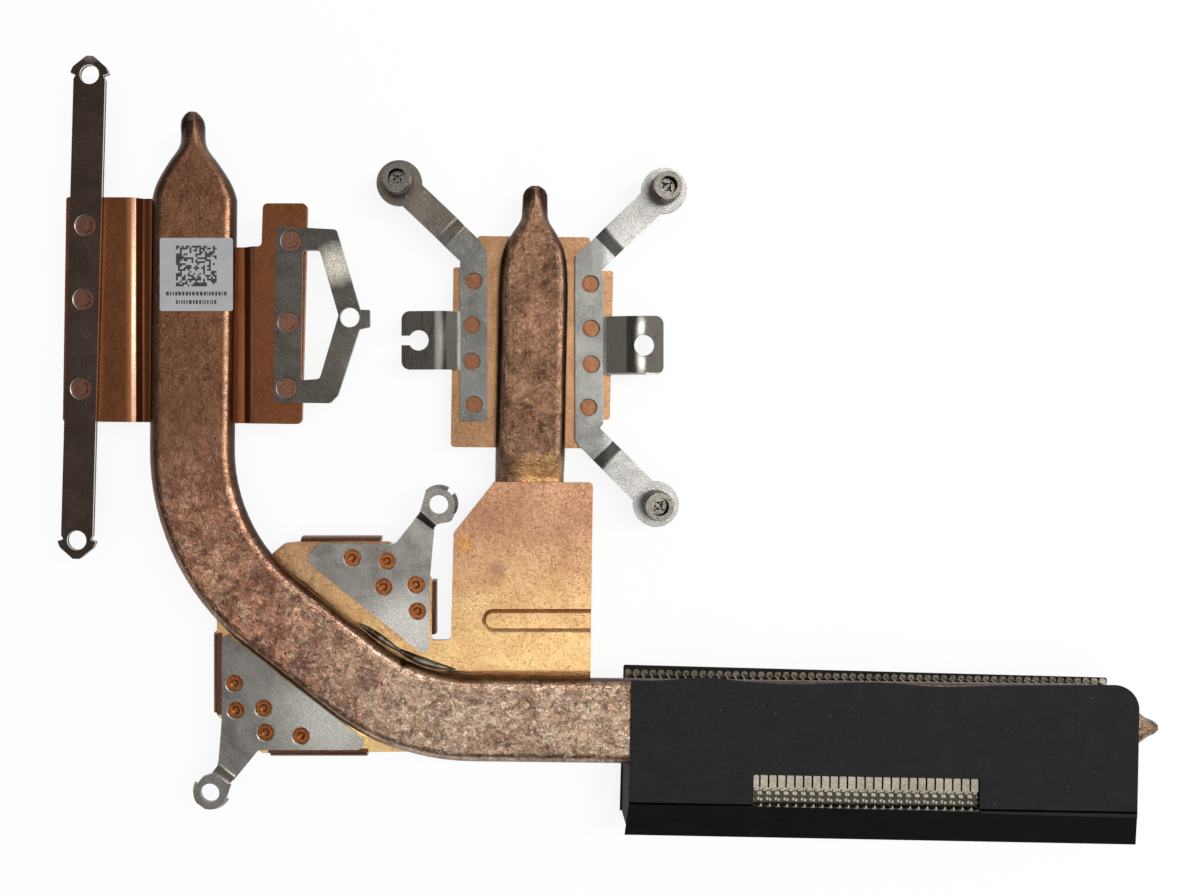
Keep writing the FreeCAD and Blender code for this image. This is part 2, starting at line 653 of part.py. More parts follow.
def stack_depth_of_pipe(along, side):
    """Depth in the stack at which one side of the main pipe's run lies."""
    rise = math.radians(RUN_TURN - FIN_TURN)
    start = run_point(0) - FIN_CORNER
    depth = start.dot(heading(FIN_TURN + 90)) + math.tan(rise) * (along - start.dot(heading(FIN_TURN)))
    return depth + side * PIPE_W / 2


def upright(points, x, length):
    """Solid over an outline of depth and height, thickened along the stack."""
    face = Part.makePolygon([V(x, d, z) for d, z in points + points[:1]])
    return Part.Face(face).extrude(V(length, 0, 0))


def lobe(x, start, end, z):
    """Tongue of a flange whose far end is round."""
    points = [(x, start), (x + LOBE_W, start), (x + LOBE_W, end, LOBE_ROUND), (x, end, LOBE_ROUND)]
    return prism(points, z, FIN_T)


def fin(index):
    """One folded fin: a web with flanges that close the top and bottom."""
    x = index * FIN_PITCH
    width = FIN_PITCH - FIN_GAP
    front_z = FIN_TOP - FIN_SLOPE_DROP
    ledge = stack_depth_of_pipe(x, -1)
    back = FIN_DEPTH - WEB_BACK
    shelf = FIN_TOP - SHELF_DROP
    top = FIN_TOP - FIN_T
    web = upright([(0, FILM_T), (back, FILM_T), (back, PIPE_Z), (ledge, PIPE_Z), (ledge, FIN_TOP),
                   (LOBE_START, FIN_TOP), (LOBE_START, shelf), (SHELF_START, shelf), (SHELF_START, FIN_TOP),
                   (FIN_SLOPE_DEPTH, FIN_TOP), (0, front_z)], x, FIN_T)
    flanges = [Part.makeBox(width, back, FIN_T, V(x, 0, FILM_T)),
               Part.makeBox(width, back - ledge, FIN_T, V(x, ledge, PIPE_Z - FIN_T)),
               upright([(0, front_z), (FIN_SLOPE_DEPTH, FIN_TOP), (FIN_SLOPE_DEPTH, top),
                        (0, front_z - FIN_T)], x, width),
               Part.makeBox(width, ledge - LOBE_END - LOBE_GAP, FIN_T, V(x, LOBE_END + LOBE_GAP, top)),
               Part.makeBox(width, LOBE_START - SHELF_START, FIN_T, V(x, SHELF_START, shelf - FIN_T)),
               Part.makeBox(width, STRAP[1] - STRAP[0], STRAP_H, V(x, STRAP[0], shelf)),
               lobe(x, LOBE_START, LOBE_END, top), lobe(x, back - 1, FIN_DEPTH, FILM_T)]
    flanges += [cylinder(x + across, depth, shelf - FIN_T, PIP_R, FIN_T + PIP_H) for across, depth in PIPS]
    return web.fuse(flanges).removeSplitter()


def fin_stack():
    return Part.makeCompound([to_stack(fin(i)) for i in range(FIN_COUNT)])


def stack_length():
    return FIN_COUNT * FIN_PITCH - FIN_GAP


def bottom_film():
    end = stack_length() + FILM_END
    points = [(-FILM_START[0], 0), (end, 0), (end, FIN_DEPTH + FILM_BACK[1], FILM_CORNER),
              (-FILM_START[1], FIN_DEPTH + FILM_BACK[0], FILM_CORNER)]
    return to_stack(prism(points, 0, FILM_T))


def fold(along):
    """Depth at which the tape ends and the strip on the slope starts."""
    return FIN_SLOPE_DEPTH - FOLD_RUNOUT * along / stack_length()


def top_tape():
    """Tape over the pipe and the fins, cut away over one stretch of fins."""
    end = stack_length() + TAPE_END
    cut_edge = Part.BSplineCurve()
    cut_edge.interpolate([V(along, depth, 0) for along, depth in TAPE_EDGE])
    low, high = WINDOW
    rest = [TAPE_EDGE[-1], (end, TAPE_EDGE[-1][1], TAPE_CORNER), (end, fold(end)), (high, fold(high)),
            (high, WINDOW_BACK, 0.3), (low, WINDOW_BACK, 0.3), (low, fold(low)), (0, fold(0)), TAPE_EDGE[0]]
    face = Part.Face(Part.Wire([cut_edge.toShape()] + path_edges(rest, False)))
    tape = face.extrude(UP * TAPE_T)
    tape.translate(UP * FIN_TOP)
    return to_stack(tape)


def front_strip():
    """Dark strip that slopes down the front of the fins from the tape's edge."""
    slope = FIN_SLOPE_DROP / FIN_SLOPE_DEPTH
    over = -STRIP_OVERHANG
    start = FIN_TOP - FIN_SLOPE_DROP + slope * over
    points = [(over, start), (FIN_SLOPE_DEPTH, FIN_TOP), (FIN_SLOPE_DEPTH, FIN_TOP + TAPE_T),
              (over, start + TAPE_T)]
    end = stack_length()
    strip = upright(points, -STRIP_FLARE, end + 2 * STRIP_FLARE)
    beyond = [(-1, fold(-1)), (end + 1, fold(end + 1)), (end + 1, FIN_DEPTH), (-1, FIN_DEPTH)]
    cuts = [prism(beyond, 0, FIN_TOP + 1)]
    for x, side in ((0, -1), (end, 1)):
        corner = x + side * STRIP_FLARE
        past = [(x, fold(x)), (corner, over), (x + side, over), (x + side, fold(x))]
        cuts.append(prism(past[::side], 0, FIN_TOP + 1))
    return to_stack(strip.cut(cuts))


def label():
    half = LABEL_SIZE / 2
    x, y = LABEL_CENTRE.x, LABEL_CENTRE.y
    points = [(x - half, y - half, 0.3), (x + half, y - half, 0.3), (x + half, y + half, 0.3),
              (x - half, y + half, 0.3)]
    return prism(points, FIN_TOP, LABEL_T)


def screw_housing(centre):
    """Turned housing with a rolled lip that traps the head of its screw."""
    x, y = centre.x, centre.y
    floor = ARM_Z + ARM_RISE + STEEL_T
    solid = cylinder(x, y, floor, HOUSING_R, HOUSING_H)
    foot = cylinder(x, y, floor, HOUSING_R + KNURL_PROUD, KNURL_H)
    solid = solid.fuse([foot, cylinder(x, y, floor - STEEL_T, HOUSING_SPIGOT_R, STEEL_T)])
    room = HOUSING_H - HOUSING_FLOOR
    chamber = cylinder(x, y, floor + HOUSING_FLOOR, HOUSING_R - HOUSING_WALL, room - HOUSING_LIP_T)
    bore = cylinder(x, y, 0, SHOULDER_R + SHOULDER_FIT, floor + HOUSING_FLOOR)
    mouth = cylinder(x, y, floor + HOUSING_FLOOR, HOUSING_LIP_R, room)
    solid = solid.cut([chamber, bore, mouth])
    rim = HOUSING_R + KNURL_PROUD
    groove = Part.makeBox(rim, KNURL_DEPTH * 2, KNURL_H, V(rim - KNURL_DEPTH, -KNURL_DEPTH, floor))
    grooves = []
    for i in range(KNURL_COUNT):
        cutter = turned(groove, 360 * i / KNURL_COUNT, V())
        cutter.translate(centre)
        grooves.append(cutter)
    return solid.cut(grooves)


def captive_screw(centre):
    """Shoulder screw with a cross recess; its tip stands level with the film."""
    x, y = centre.x, centre.y
    seat = ARM_Z + ARM_RISE + STEEL_T + HOUSING_FLOOR + HEAD_LIFT
    head = cylinder(x, y, seat, HEAD_R, HEAD_H - HEAD_BEVEL)
    crown = cone(x, y, seat + HEAD_H - HEAD_BEVEL, HEAD_R, HEAD_R - HEAD_BEVEL, HEAD_BEVEL)
    shoulder = cylinder(x, y, THREAD_L, SHOULDER_R, seat - THREAD_L)
    thread = cylinder(x, y, TIP_BEVEL, THREAD_R, THREAD_L - TIP_BEVEL)
    tip = cone(x, y, 0, THREAD_R - TIP_BEVEL, THREAD_R, TIP_BEVEL)
    solid = joined(head, [crown, shoulder, thread, tip])
    solid = solid.cut(cone(x, y, seat + HEAD_H - CROSS_DEPTH, 0, CROSS_CONE_R, CROSS_DEPTH))
    for angle in (45, 135):
        blade = Part.makeBox(2 * CROSS_REACH, CROSS_W, CROSS_DEPTH,
                             V(-CROSS_REACH, -CROSS_W / 2, seat + HEAD_H - CROSS_DEPTH))
        cutter = turned(blade, angle, V())
        cutter.translate(centre)
        solid = solid.cut(cutter)
    return solid


def parts():
    """Every node's name and shape."""
    nodes = {
        "main_heat_pipe": main_heat_pipe(),
        "short_heat_pipe": short_heat_pipe(),
        "left_plate": left_plate(),
        "middle_plate": middle_plate(),
        "base_plate": base_plate(),
        "left_strip": left_strip(),
        "loop_bracket": loop_bracket(),
        "left_arm_bracket": left_arm_bracket(),
        "right_arm_bracket": right_arm_bracket(),
        "upper_corner_spring": upper_corner_spring(),
        "lower_corner_spring": lower_corner_spring(),
        "fin_stack": fin_stack(),
        "bottom_film": bottom_film(),
        "top_tape": top_tape(),
        "front_strip": front_strip(),
        "label": label(),
    }
    for number, held in enumerate((LEFT_ARM, RIGHT_ARM_UP, RIGHT_ARM_DOWN), 1):
        nodes["screw_housing_%d" % number] = screw_housing(held[0])
        nodes["captive_screw_%d" % number] = captive_screw(held[0])
    return nodes


def origin_shift(nodes):
    """Carries the plan's origin to the middle of the whole part's underside."""
    box = Part.makeCompound(list(nodes.values())).BoundBox
    return V(-box.Center.x, -box.Center.y, -box.ZMin)


def main():
    os.makedirs("parts", exist_ok=True)
    nodes = parts()
    shift = origin_shift(nodes)
    for name, shape in nodes.items():
        shape.translate(shift)
        shape.exportStep("parts/%s.step" % name)
        print(name, len(shape.Solids), "solids", shape.isValid(), round(shape.Volume, 2))


main()
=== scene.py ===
import math
import random

import bmesh
import bpy
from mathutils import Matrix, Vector


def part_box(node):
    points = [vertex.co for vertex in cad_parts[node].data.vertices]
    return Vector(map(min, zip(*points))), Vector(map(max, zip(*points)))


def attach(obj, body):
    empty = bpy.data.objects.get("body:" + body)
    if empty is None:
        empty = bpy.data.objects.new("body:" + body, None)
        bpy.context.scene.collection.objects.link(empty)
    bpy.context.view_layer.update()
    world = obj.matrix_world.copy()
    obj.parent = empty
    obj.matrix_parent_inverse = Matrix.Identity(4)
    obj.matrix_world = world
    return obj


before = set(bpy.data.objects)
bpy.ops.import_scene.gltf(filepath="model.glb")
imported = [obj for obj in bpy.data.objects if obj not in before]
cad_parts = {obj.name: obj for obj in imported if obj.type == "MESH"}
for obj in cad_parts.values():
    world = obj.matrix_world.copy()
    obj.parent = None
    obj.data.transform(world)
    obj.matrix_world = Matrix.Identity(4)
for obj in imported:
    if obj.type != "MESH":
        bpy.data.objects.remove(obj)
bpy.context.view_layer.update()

MM = 0.001
BODY = "heatsink"

# Where the part's own drawing has the label, and the heights of its main faces, in millimetres
LABEL_CENTRE = (0.5, 39.25)
PIPE_TOP = 6.6
PIPE_Z = 4.6
ARM_Z = 3.4
WING_Z = 5.4
STEEL_T = 0.6

# The camera looks straight down on this point, and the photo's frame lies off its axis
CAMERA_SPOT = (44.6, 20.8)
CAMERA_HEIGHT = 118.0
CAMERA_PIXEL = 0.1425
CAMERA_SPOT_PIXEL = (506, 404)
PHOTO_SIZE = (1195, 896)
SENSOR_WIDTH = 36.0

# Broad lights of the world: where each is, the cosines at which it starts and is full, its
# strength, and then the strength of the rest of the world
SKY_LIGHTS = [((0, 0, 1), 0.75, 0.93, 0.84), ((0.3, -0.52, 0.8), 0.84, 0.97, 0.6),
              ((0.7, 0.62, 0.35), 0.1, 0.9, 0.4)]
SKY_BASE = 0.1

# The one lamp, in watts and metres
KEY_ENERGY = 2.8
KEY_PLACE = (0.33, 0.12, 0.6)
KEY_SIZE = (0.16, 0.6)

# Half the floor's side in metres, and how much of it is its own pale glow
FLOOR_REACH = 3.0
FLOOR_GLOW = 0.87

# The pipes' middle lines as corners, with the radii of their bends. Each closed end
# is given from its tip inwards as the distance from there and the share of the width.
MAIN_HALF = 6.05
MAIN_CORNERS = [(0.1, 62.7), (-0.6, -0.1), (30.1, -24.3), (138.0, -25.6)]
MAIN_RADII = [29.7, 28.7]
MAIN_ENDS = ([(0, 0.1), (4.4, 0.29), (5.4, 0.35), (6.8, 0.52), (9.7, 0.83), (12.6, 1)],
             [(0, 0.09), (4.9, 0.6), (10.4, 1)])
SHORT_HALF = 5.05
SHORT_CORNERS = [(48.86, 52.4), (47.9, 1.8)]
SHORT_ENDS = ([(0, 0.13), (4.7, 0.39), (6.4, 0.58), (9.3, 0.87), (12.2, 0.97), (15.1, 1)], [(0, 1)])

# How far in from the outline the pipes' shoulders start, and how far they fall
SHOULDER = 1.6
SHOULDER_FALL = 0.75

# The base plate: where it turns golden along Y, where its stains come in along X, its painted
# shadow beside the pipe along Y, and its turned-down edges, which get painted shade, as stretches along X
# and Y
GOLDEN_START = 3
GOLDEN_FULL = -16
STAINS_START = 40
STAINS_FULL = 35
PIPE_SHADOW_BAND = (-18.9, -18.0)
PLATE_FLANGES = [((0.0, 30.0), (0.95, 3.0)), ((33.9, 35.2), (-12.7, -4.5)),
                 ((-5.0, 3.45), (-24.2, -12.4)), ((10.2, 24.6), (-35.0, -29.15))]

# Heading of the steel's scuffs, in radians
SCUFF_TURN = 0.8

# Where the side tabs leave their bars along X, and their sides along Y, each with a soft edge
LEFT_TAB_START = (37.7, 37.4)
RIGHT_TAB_START = (59.0, 59.3)
TAB_LOW = (25.2, 25.4)
TAB_HIGH = (34.4, 34.2)

# The fin stack's front corner, its turn and pitch, the rows in which its fins hook
# together, and the dark line along the tape's front edge
FIN_CORNER = (62.0, -40.3)
FIN_TURN = -1.1
FIN_PITCH = 1.25
HOOK_ROWS = 0.85
HOOK_START = (3.2, 3.3)
HOOK_END = (6.3, 6.4)
TAPE_EDGE_START = (4.1, 4.15)
TAPE_EDGE_END = (4.4, 4.5)

# The label's print: a block of cells, with its left and top measured from the label's
# middle, and rows of bars, each with its height there, its start and its end
CODE_CELLS = 21
CODE_SIZE = 5.8
CODE_LEFT = -2.9
CODE_TOP = 4.1
CODE_FILL = 0.46
BAR_ROWS = [(-3.0, -4.3, 4.2), (-4.2, -2.9, 2.6)]
BAR_HEIGHT = 0.55
BAR_WIDTHS = (0.12, 0.42)
BAR_GAPS = (0.12, 0.2)
INK_LIFT = 0.006

# Centre and radius of the main pipe's inner bend, along which solder ran out
SOLDER_BEND = (40.2, 4.28)
SOLDER_RADIUS = 22.6

# Fine rounds that stamped edges have, and how close points lie that are one
STEEL_ROUND = 0.24
COPPER_ROUND = 0.12
FILM_ROUND = 0.03
ROUND_ANGLE = 40
WELD_REACH = 0.001


def plan(x, y, z=0.0):
    """A place in the part's own drawing, in metres in the frame."""
    low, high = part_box("label")
    return Vector(((low.x + high.x) / 2 + (x - LABEL_CENTRE[0]) * MM,
                   (low.y + high.y) / 2 + (y - LABEL_CENTRE[1]) * MM, z * MM))


def srgb(red, green, blue):
    """Linear colour of one that is given as it looks, 0 to 255."""
    out = []
    for value in (red, green, blue):
        share = value / 255
        out.append(share / 12.92 if share < 0.04045 else ((share + 0.055) / 1.055) ** 2.4)
    return (*out, 1.0)


def dimmed(colour, share):
    """The colour with its red, green and blue cut to a share."""
    return (*(value * share for value in colour[:3]), 1.0)


class Nodes:
    """Builds one material's node tree, with places measured in millimetres."""

    def __init__(self, name, metallic=0.0):
        self.material = bpy.data.materials.new(name)
        self.material.use_nodes = True
        self.tree = self.material.node_tree
        self.shader = self.tree.nodes["Principled BSDF"]
        self.shader.inputs["Metallic"].default_value = metallic
        coords = self.add("ShaderNodeTexCoord").outputs["Object"]
        self.place = self.scaled(coords, (1 / MM, 1 / MM, 1 / MM))
        self.axes = self.add("ShaderNodeSeparateXYZ")
        self.link(self.place, self.axes.inputs[0])

    def add(self, kind, **values):
        node = self.tree.nodes.new(kind)
        for key, value in values.items():
            setattr(node, key, value)
        return node

    def link(self, source, target):
        self.tree.links.new(source, target)

    def feed(self, socket, value):
        if isinstance(value, (int, float, tuple)):
            socket.default_value = value
        else:
            self.link(value, socket)

    def scaled(self, vector, scale, turn=0.0):
        """The vector turned about Z, then scaled."""
        if turn:
            spin = self.add("ShaderNodeMapping")
            spin.inputs["Rotation"].default_value = (0, 0, turn)
            self.link(vector, spin.inputs["Vector"])
            vector = spin.outputs[0]
        node = self.add("ShaderNodeMapping")
        node.inputs["Scale"].default_value = scale
        self.link(vector, node.inputs["Vector"])
        return node.outputs[0]

    def noise(self, scale, detail=3.0, rough=0.55, vector=None, distortion=0.0):
        node = self.add("ShaderNodeTexNoise")
        node.inputs["Scale"].default_value = scale
        node.inputs["Detail"].default_value = detail
        node.inputs["Roughness"].default_value = rough
        node.inputs["Distortion"].default_value = distortion
        self.link(vector or self.place, node.inputs["Vector"])
        return node.outputs["Fac"]

    def warped(self, amount, scale):
        """Places shifted by a noise, for lines that wander."""
        node = self.add("ShaderNodeTexNoise")
        node.inputs["Scale"].default_value = scale
        self.link(self.place, node.inputs["Vector"])
        shift = self.add("ShaderNodeVectorMath", operation="MULTIPLY_ADD")
        shift.inputs[1].default_value = (amount, amount, amount)
        self.link(node.outputs["Color"], shift.inputs[0])
        self.link(self.place, shift.inputs[2])
        return shift.outputs[0]

    def spots(self, scale, vector=None):
        node = self.add("ShaderNodeTexVoronoi")
        node.inputs["Scale"].default_value = scale
        self.link(vector or self.place, node.inputs["Vector"])
        return node.outputs["Distance"]

    def ridges(self, scale, width, detail, distortion):
        """Thin lines that wander: 1 on a line, 0 away from it."""
        value = self.noise(scale, detail, 0.5, distortion=distortion)
        off = self.math("ABSOLUTE", self.math("SUBTRACT", value, 0.5), 0.0)
        return self.ramp(off, 0.0, width, 1.0, 0.0)

    def some(self, scale, low, high):
        """Patches that a coarse noise picks out."""
        return self.ramp(self.noise(scale, 3.0, 0.6), low, high)

    def ramp(self, source, low, high, first=0.0, last=1.0):
        """Goes from the first value to the last while the source goes from low to high."""
        node = self.add("ShaderNodeMapRange", clamp=True)
        limits = {"From Min": low, "From Max": high, "To Min": first, "To Max": last}
        for key, value in limits.items():
            node.inputs[key].default_value = value
        self.link(source, node.inputs["Value"])
        return node.outputs[0]

    def math(self, operation, first, second):
        node = self.add("ShaderNodeMath", operation=operation)
        self.feed(node.inputs[0], first)
        self.feed(node.inputs[1], second)
        return node.outputs[0]

    def times(self, first, second):
        return self.math("MULTIPLY", first, second)

    def mix(self, share, first, second):
        node = self.add("ShaderNodeMix", data_type="RGBA")
        self.feed(node.inputs[0], share)
        self.feed(node.inputs[6], first)
        self.feed(node.inputs[7], second)
        return node.outputs[2]

    def near(self, place, reach):
        """Soft blot round a place in the part's drawing."""
        node = self.add("ShaderNodeVectorMath", operation="DISTANCE")
        x, y, _ = plan(*place) / MM
        flat = self.scaled(self.warped(0.8, 0.9), (1.0, 1.0, 0.0))
        self.link(flat, node.inputs[0])
        node.inputs[1].default_value = (x + 0.4, y + 0.4, 0.0)
        return self.ramp(node.outputs["Value"], reach * 0.3, reach, 1.0, 0.0)

    def beyond(self, axis, start, end):
        """Share that rises from 0 to 1 along X, Y or Z, given in metres."""
        return self.ramp(self.axes.outputs[axis], start / MM, end / MM)

    def between(self, axis, start, end, soft=0.1):
        """Share that is 1 between two places in the part's drawing along X or Y, in millimetres."""
        shift = plan(0, 0)["XY".index(axis)] / MM
        along = self.axes.outputs[axis]
        rise = self.ramp(along, shift + start - soft, shift + start)
        return self.times(rise, self.ramp(along, shift + end, shift + end + soft, 1.0, 0.0))

    def stack_place(self):
        """Place along the fin stack and inwards from its front edge, whole and in its parts."""
        corner = plan(*FIN_CORNER) / MM
        turn = self.add("ShaderNodeVectorRotate", rotation_type="Z_AXIS")
        turn.inputs["Angle"].default_value = -math.radians(FIN_TURN)
        turn.inputs["Center"].default_value = corner
        self.link(self.place, turn.inputs["Vector"])
        own = self.vector("SUBTRACT", turn.outputs[0], tuple(corner))
        split = self.add("ShaderNodeSeparateXYZ")
        self.link(own, split.inputs[0])
        return own, split

    def rim(self, top):
        """Share that is 1 on the rounded edge just under a face at a height in millimetres."""
        height = self.axes.outputs["Z"]
        below = self.ramp(height, top - 0.03, top - 0.005, 1.0, 0.0)
        return self.times(self.ramp(height, top - 0.3, top - 0.2), below)

    def vector(self, operation, first, second, output="Vector"):
        """Vector arithmetic on two places, or on one and a number where it scales."""
        node = self.add("ShaderNodeVectorMath", operation=operation)
        self.feed(node.inputs[0], first)
        self.feed(node.inputs["Scale" if operation == "SCALE" else 1], second)
        return node.outputs[output]

    def stretch(self, flat, start, end, half, ends):
        """How far inside a straight stretch of pipe a place is, with its width as shares near its ends."""
        run = end - start
        off = self.vector("SUBTRACT", flat, tuple(start))
        along = self.vector("DOT_PRODUCT", off, tuple(run / run.length_squared), "Value")
        share = self.ramp(along, 0.0, 1.0)
        away = self.vector("DISTANCE", off, self.vector("SCALE", tuple(run), share), "Value")
        widths = self.add("ShaderNodeValToRGB")
        self.link(share, widths.inputs[0])
        stops = {inwards / run.length: wide for inwards, wide in ends[0]}
        stops.update({1 - inwards / run.length: wide for inwards, wide in ends[1]})
        places = widths.color_ramp.elements
        while len(places) < len(stops):
            places.new(0.5)
        for place, at in zip(places, sorted(stops)):
            place.position = at
            place.color = (stops[at], stops[at], stops[at], 1.0)
        return self.math("SUBTRACT", self.times(widths.outputs[0], half), away)

    def bend(self, flat, before, corner, after, radius, half):
        """How far inside a bend of pipe a place is, and where the bend starts and ends."""
        back, on = (before - corner).normalized(), (after - corner).normalized()
        angle = back.angle(on)
        middle = corner + (back + on).normalized() * radius / math.sin(angle / 2)
        away = self.vector("DISTANCE", flat, tuple(middle), "Value")
        depth = self.math("SUBTRACT", half, self.math("ABSOLUTE", self.math("SUBTRACT", away, radius), 0.0))
        ends = [corner + way * radius / math.tan(angle / 2) for way in (back, on)]
        for end, way in zip(ends, (back, on)):
            along = self.vector("DOT_PRODUCT", flat, tuple(way), "Value")
            past = self.math("SUBTRACT", along, end.dot(way))
            depth = self.math("SUBTRACT", depth, self.ramp(past, 0.0, 0.05, 0.0, 9.0))
        return depth, ends

    def depth_inside(self, corners, radii, half, ends):
        """How far a place is inside a flat pipe's outline, in millimetres."""
        flat = self.scaled(self.place, (1.0, 1.0, 0.0))
        points = [plan(*corner) / MM for corner in corners]
        straights = [points[0]]
        parts = []
        for before, corner, after, radius in zip(points, points[1:], points[2:], radii):
            depth, (start, end) = self.bend(flat, before, corner, after, radius, half)
            parts.append(depth)
            straights += [start, end]
        straights.append(points[-1])
        for i in range(0, len(straights), 2):
            near = ends[0] if i == 0 else [(0, 1)]
            far = ends[1] if i + 2 == len(straights) else [(0, 1)]
            parts.append(self.stretch(flat, straights[i], straights[i + 1], half, (near, far)))
        depth = parts[0]
        for part in parts[1:]:
            depth = self.math("MAXIMUM", depth, part)
        return depth

    def finish(self, colour, roughness, bump):
        """Colour, roughness, and relief from pairs of a height and its depth in millimetres."""
        self.link(colour, self.shader.inputs["Base Color"])
        self.feed(self.shader.inputs["Roughness"], roughness)
        normal = None
        for source, depth in bump:
            node = self.add("ShaderNodeBump")
            node.inputs["Strength"].default_value = 1.0
            node.inputs["Distance"].default_value = depth * MM
            self.link(source, node.inputs["Height"])
            if normal:
                self.link(normal, node.inputs["Normal"])
            normal = node.outputs[0]
        self.link(normal, self.shader.inputs["Normal"])
        return self.material


def calm_copper(n, tones):
    """Sandy, faintly blotched copper, with tones from dark to pale."""
    sand = n.ramp(n.noise(3.4, 5.0, 0.85), 0.4, 0.62)
    blotch = n.ramp(n.noise(0.4, 5.0, 0.66, distortion=0.6), 0.38, 0.62)
    calm = n.mix(blotch, tones[0], tones[1])
    return n.mix(n.times(sand, 0.55), calm, tones[2])


def worked_copper(n, tones, bright):
    """Copper that went patchy where it was bent and pressed, with painted glints and painted shade on its
    crumples.
    """
    patch = n.ramp(n.noise(0.36, 6.0, 0.7, n.warped(1.6, 0.8)), 0.44, 0.58)
    rich = n.mix(patch, tones[0], tones[1])
    rich = n.mix(n.times(bright, n.ramp(patch, 0.0, 1.0, 0.35, 0.9)), rich, tones[2])
    # Painted glints and painted shade stand in for light on the crumpled relief
    painted_glints = n.ramp(n.noise(1.1, 6.0, 0.76, n.warped(1.0, 1.4)), 0.5, 0.58)
    lit = n.math("ADD", n.times(bright, 0.5), 0.4)
    rich = n.mix(n.times(n.times(painted_glints, n.some(0.4, 0.42, 0.58)), lit), rich, tones[3])
    painted_crumple_shade = n.ramp(n.noise(1.2, 6.0, 0.76, n.warped(1.2, 1.0)), 0.53, 0.61)
    return n.mix(n.times(painted_crumple_shade, 0.6), rich, tones[4])


def pipe_marks(n, base, share):
    """Adds dark creases, pits and painted golden glints, and gives the creases and pits for the relief."""
    creases = n.times(n.ridges(0.7, 0.026, 4.0, 1.2), n.some(0.6, 0.42, 0.54))
    creases = n.times(creases, n.math("ADD", n.times(share, 0.7), 0.25))
    base = n.mix(n.times(creases, 0.8), base, srgb(58, 36, 30))
    pits = n.ramp(n.spots(0.42, n.warped(0.5, 3.0)), 0.05, 0.11, 1.0, 0.0)
    pits = n.times(pits, n.some(0.9, 0.46, 0.54))
    base = n.mix(n.times(pits, 0.85), base, srgb(40, 22, 17))
    # Painted golden glints, more of them where the pipe was worked
    painted_flecks = n.ramp(n.noise(3.2, 5.0, 0.85), 0.62, 0.7)
    painted_flecks = n.times(painted_flecks, n.math("ADD", n.times(share, 0.4), 0.3))
    return n.mix(painted_flecks, base, srgb(240, 190, 140)), creases, pits


def pipe_metal(name, route, calm_tones, worked_tones, worked, streaks=0.0, blots=(), painted_bands=()):
    """Oxidised copper tube: sandy where it is as drawn, and patchy, creased and
    blotched where it was worked, with painted glints and painted shade on its crumples.

    Calm tones go from dark to pale. Worked tones are dark, middle and pale ones, then
    that of the painted glints and that of the painted shade in the crumples. Worked is a function that
    gives the share of the worked look and, within it, the share of the pale one. Blots are places
    of another tone, and painted highlights on the short pipe. The painted stretches along X or Y are
    painted shade, each with its colour."""
    n = Nodes(name, 1.0)
    share, bright = worked(n)
    calm = calm_copper(n, calm_tones)
    base = n.mix(share, calm, worked_copper(n, worked_tones, bright))
    base, creases, pits = pipe_marks(n, base, share)
    inside = n.depth_inside(*route)
    fall = n.ramp(inside, 0.0, SHOULDER, 1.0, 0.0)
    dents = n.math("ADD", n.times(share, 0.85), 0.15)
    hammered = n.times(n.noise(0.95, 5.0, 0.7, n.warped(1.2, 0.9)), dents)
    hammered = n.times(hammered, n.ramp(fall, 0.0, 0.4, 1.0, 0.3))
    # Painted shade in stretches along X or Y
    for axis, start, end, soft, colour in painted_bands:
        base = n.mix(n.times(n.between(axis, start, end, soft), 0.5), base, colour)
    for place, reach, colour in blots:
        base = n.mix(n.near(place, reach), base, colour)
    relief = [(hammered, 0.6), (n.noise(0.5, 3.0, 0.6), 0.14), (n.noise(5.0, 4.0, 0.8), 0.045),
              (creases, -0.07), (pits, -0.04)]
    if streaks:
        drawn = n.ramp(n.noise(1.0, 5.0, 0.75, n.scaled(n.place, (3.2, 0.22, 1.0))), 0.4, 0.62)
        drawn = n.times(drawn, n.some(0.5, 0.4, 0.6))
        base = n.mix(n.times(drawn, streaks), base, calm_tones[2])
        relief.append((drawn, 0.03))
    rough = n.ramp(n.noise(1.6, 4.0, 0.6), 0.3, 0.7, 0.24, 0.4)
    # Painted highlight in a band along the pipe's shoulders, then painted shade on the edge of its outline
    painted_shoulder_highlight = n.times(n.ramp(inside, 0.6, 0.85), n.ramp(inside, 1.15, 1.5, 1.0, 0.0))
    base = n.mix(n.times(painted_shoulder_highlight, 0.15), base, srgb(246, 202, 164))
    base = n.mix(n.ramp(inside, 0.15, 0.85, 0.94, 0.0), base, srgb(50, 30, 22))
    rough = n.mix(n.ramp(fall, 0.05, 0.25), rough, (0.18, 0.18, 0.18, 1.0))
    relief.append((n.times(fall, fall), -SHOULDER_FALL))
    return n.finish(base, rough, relief)


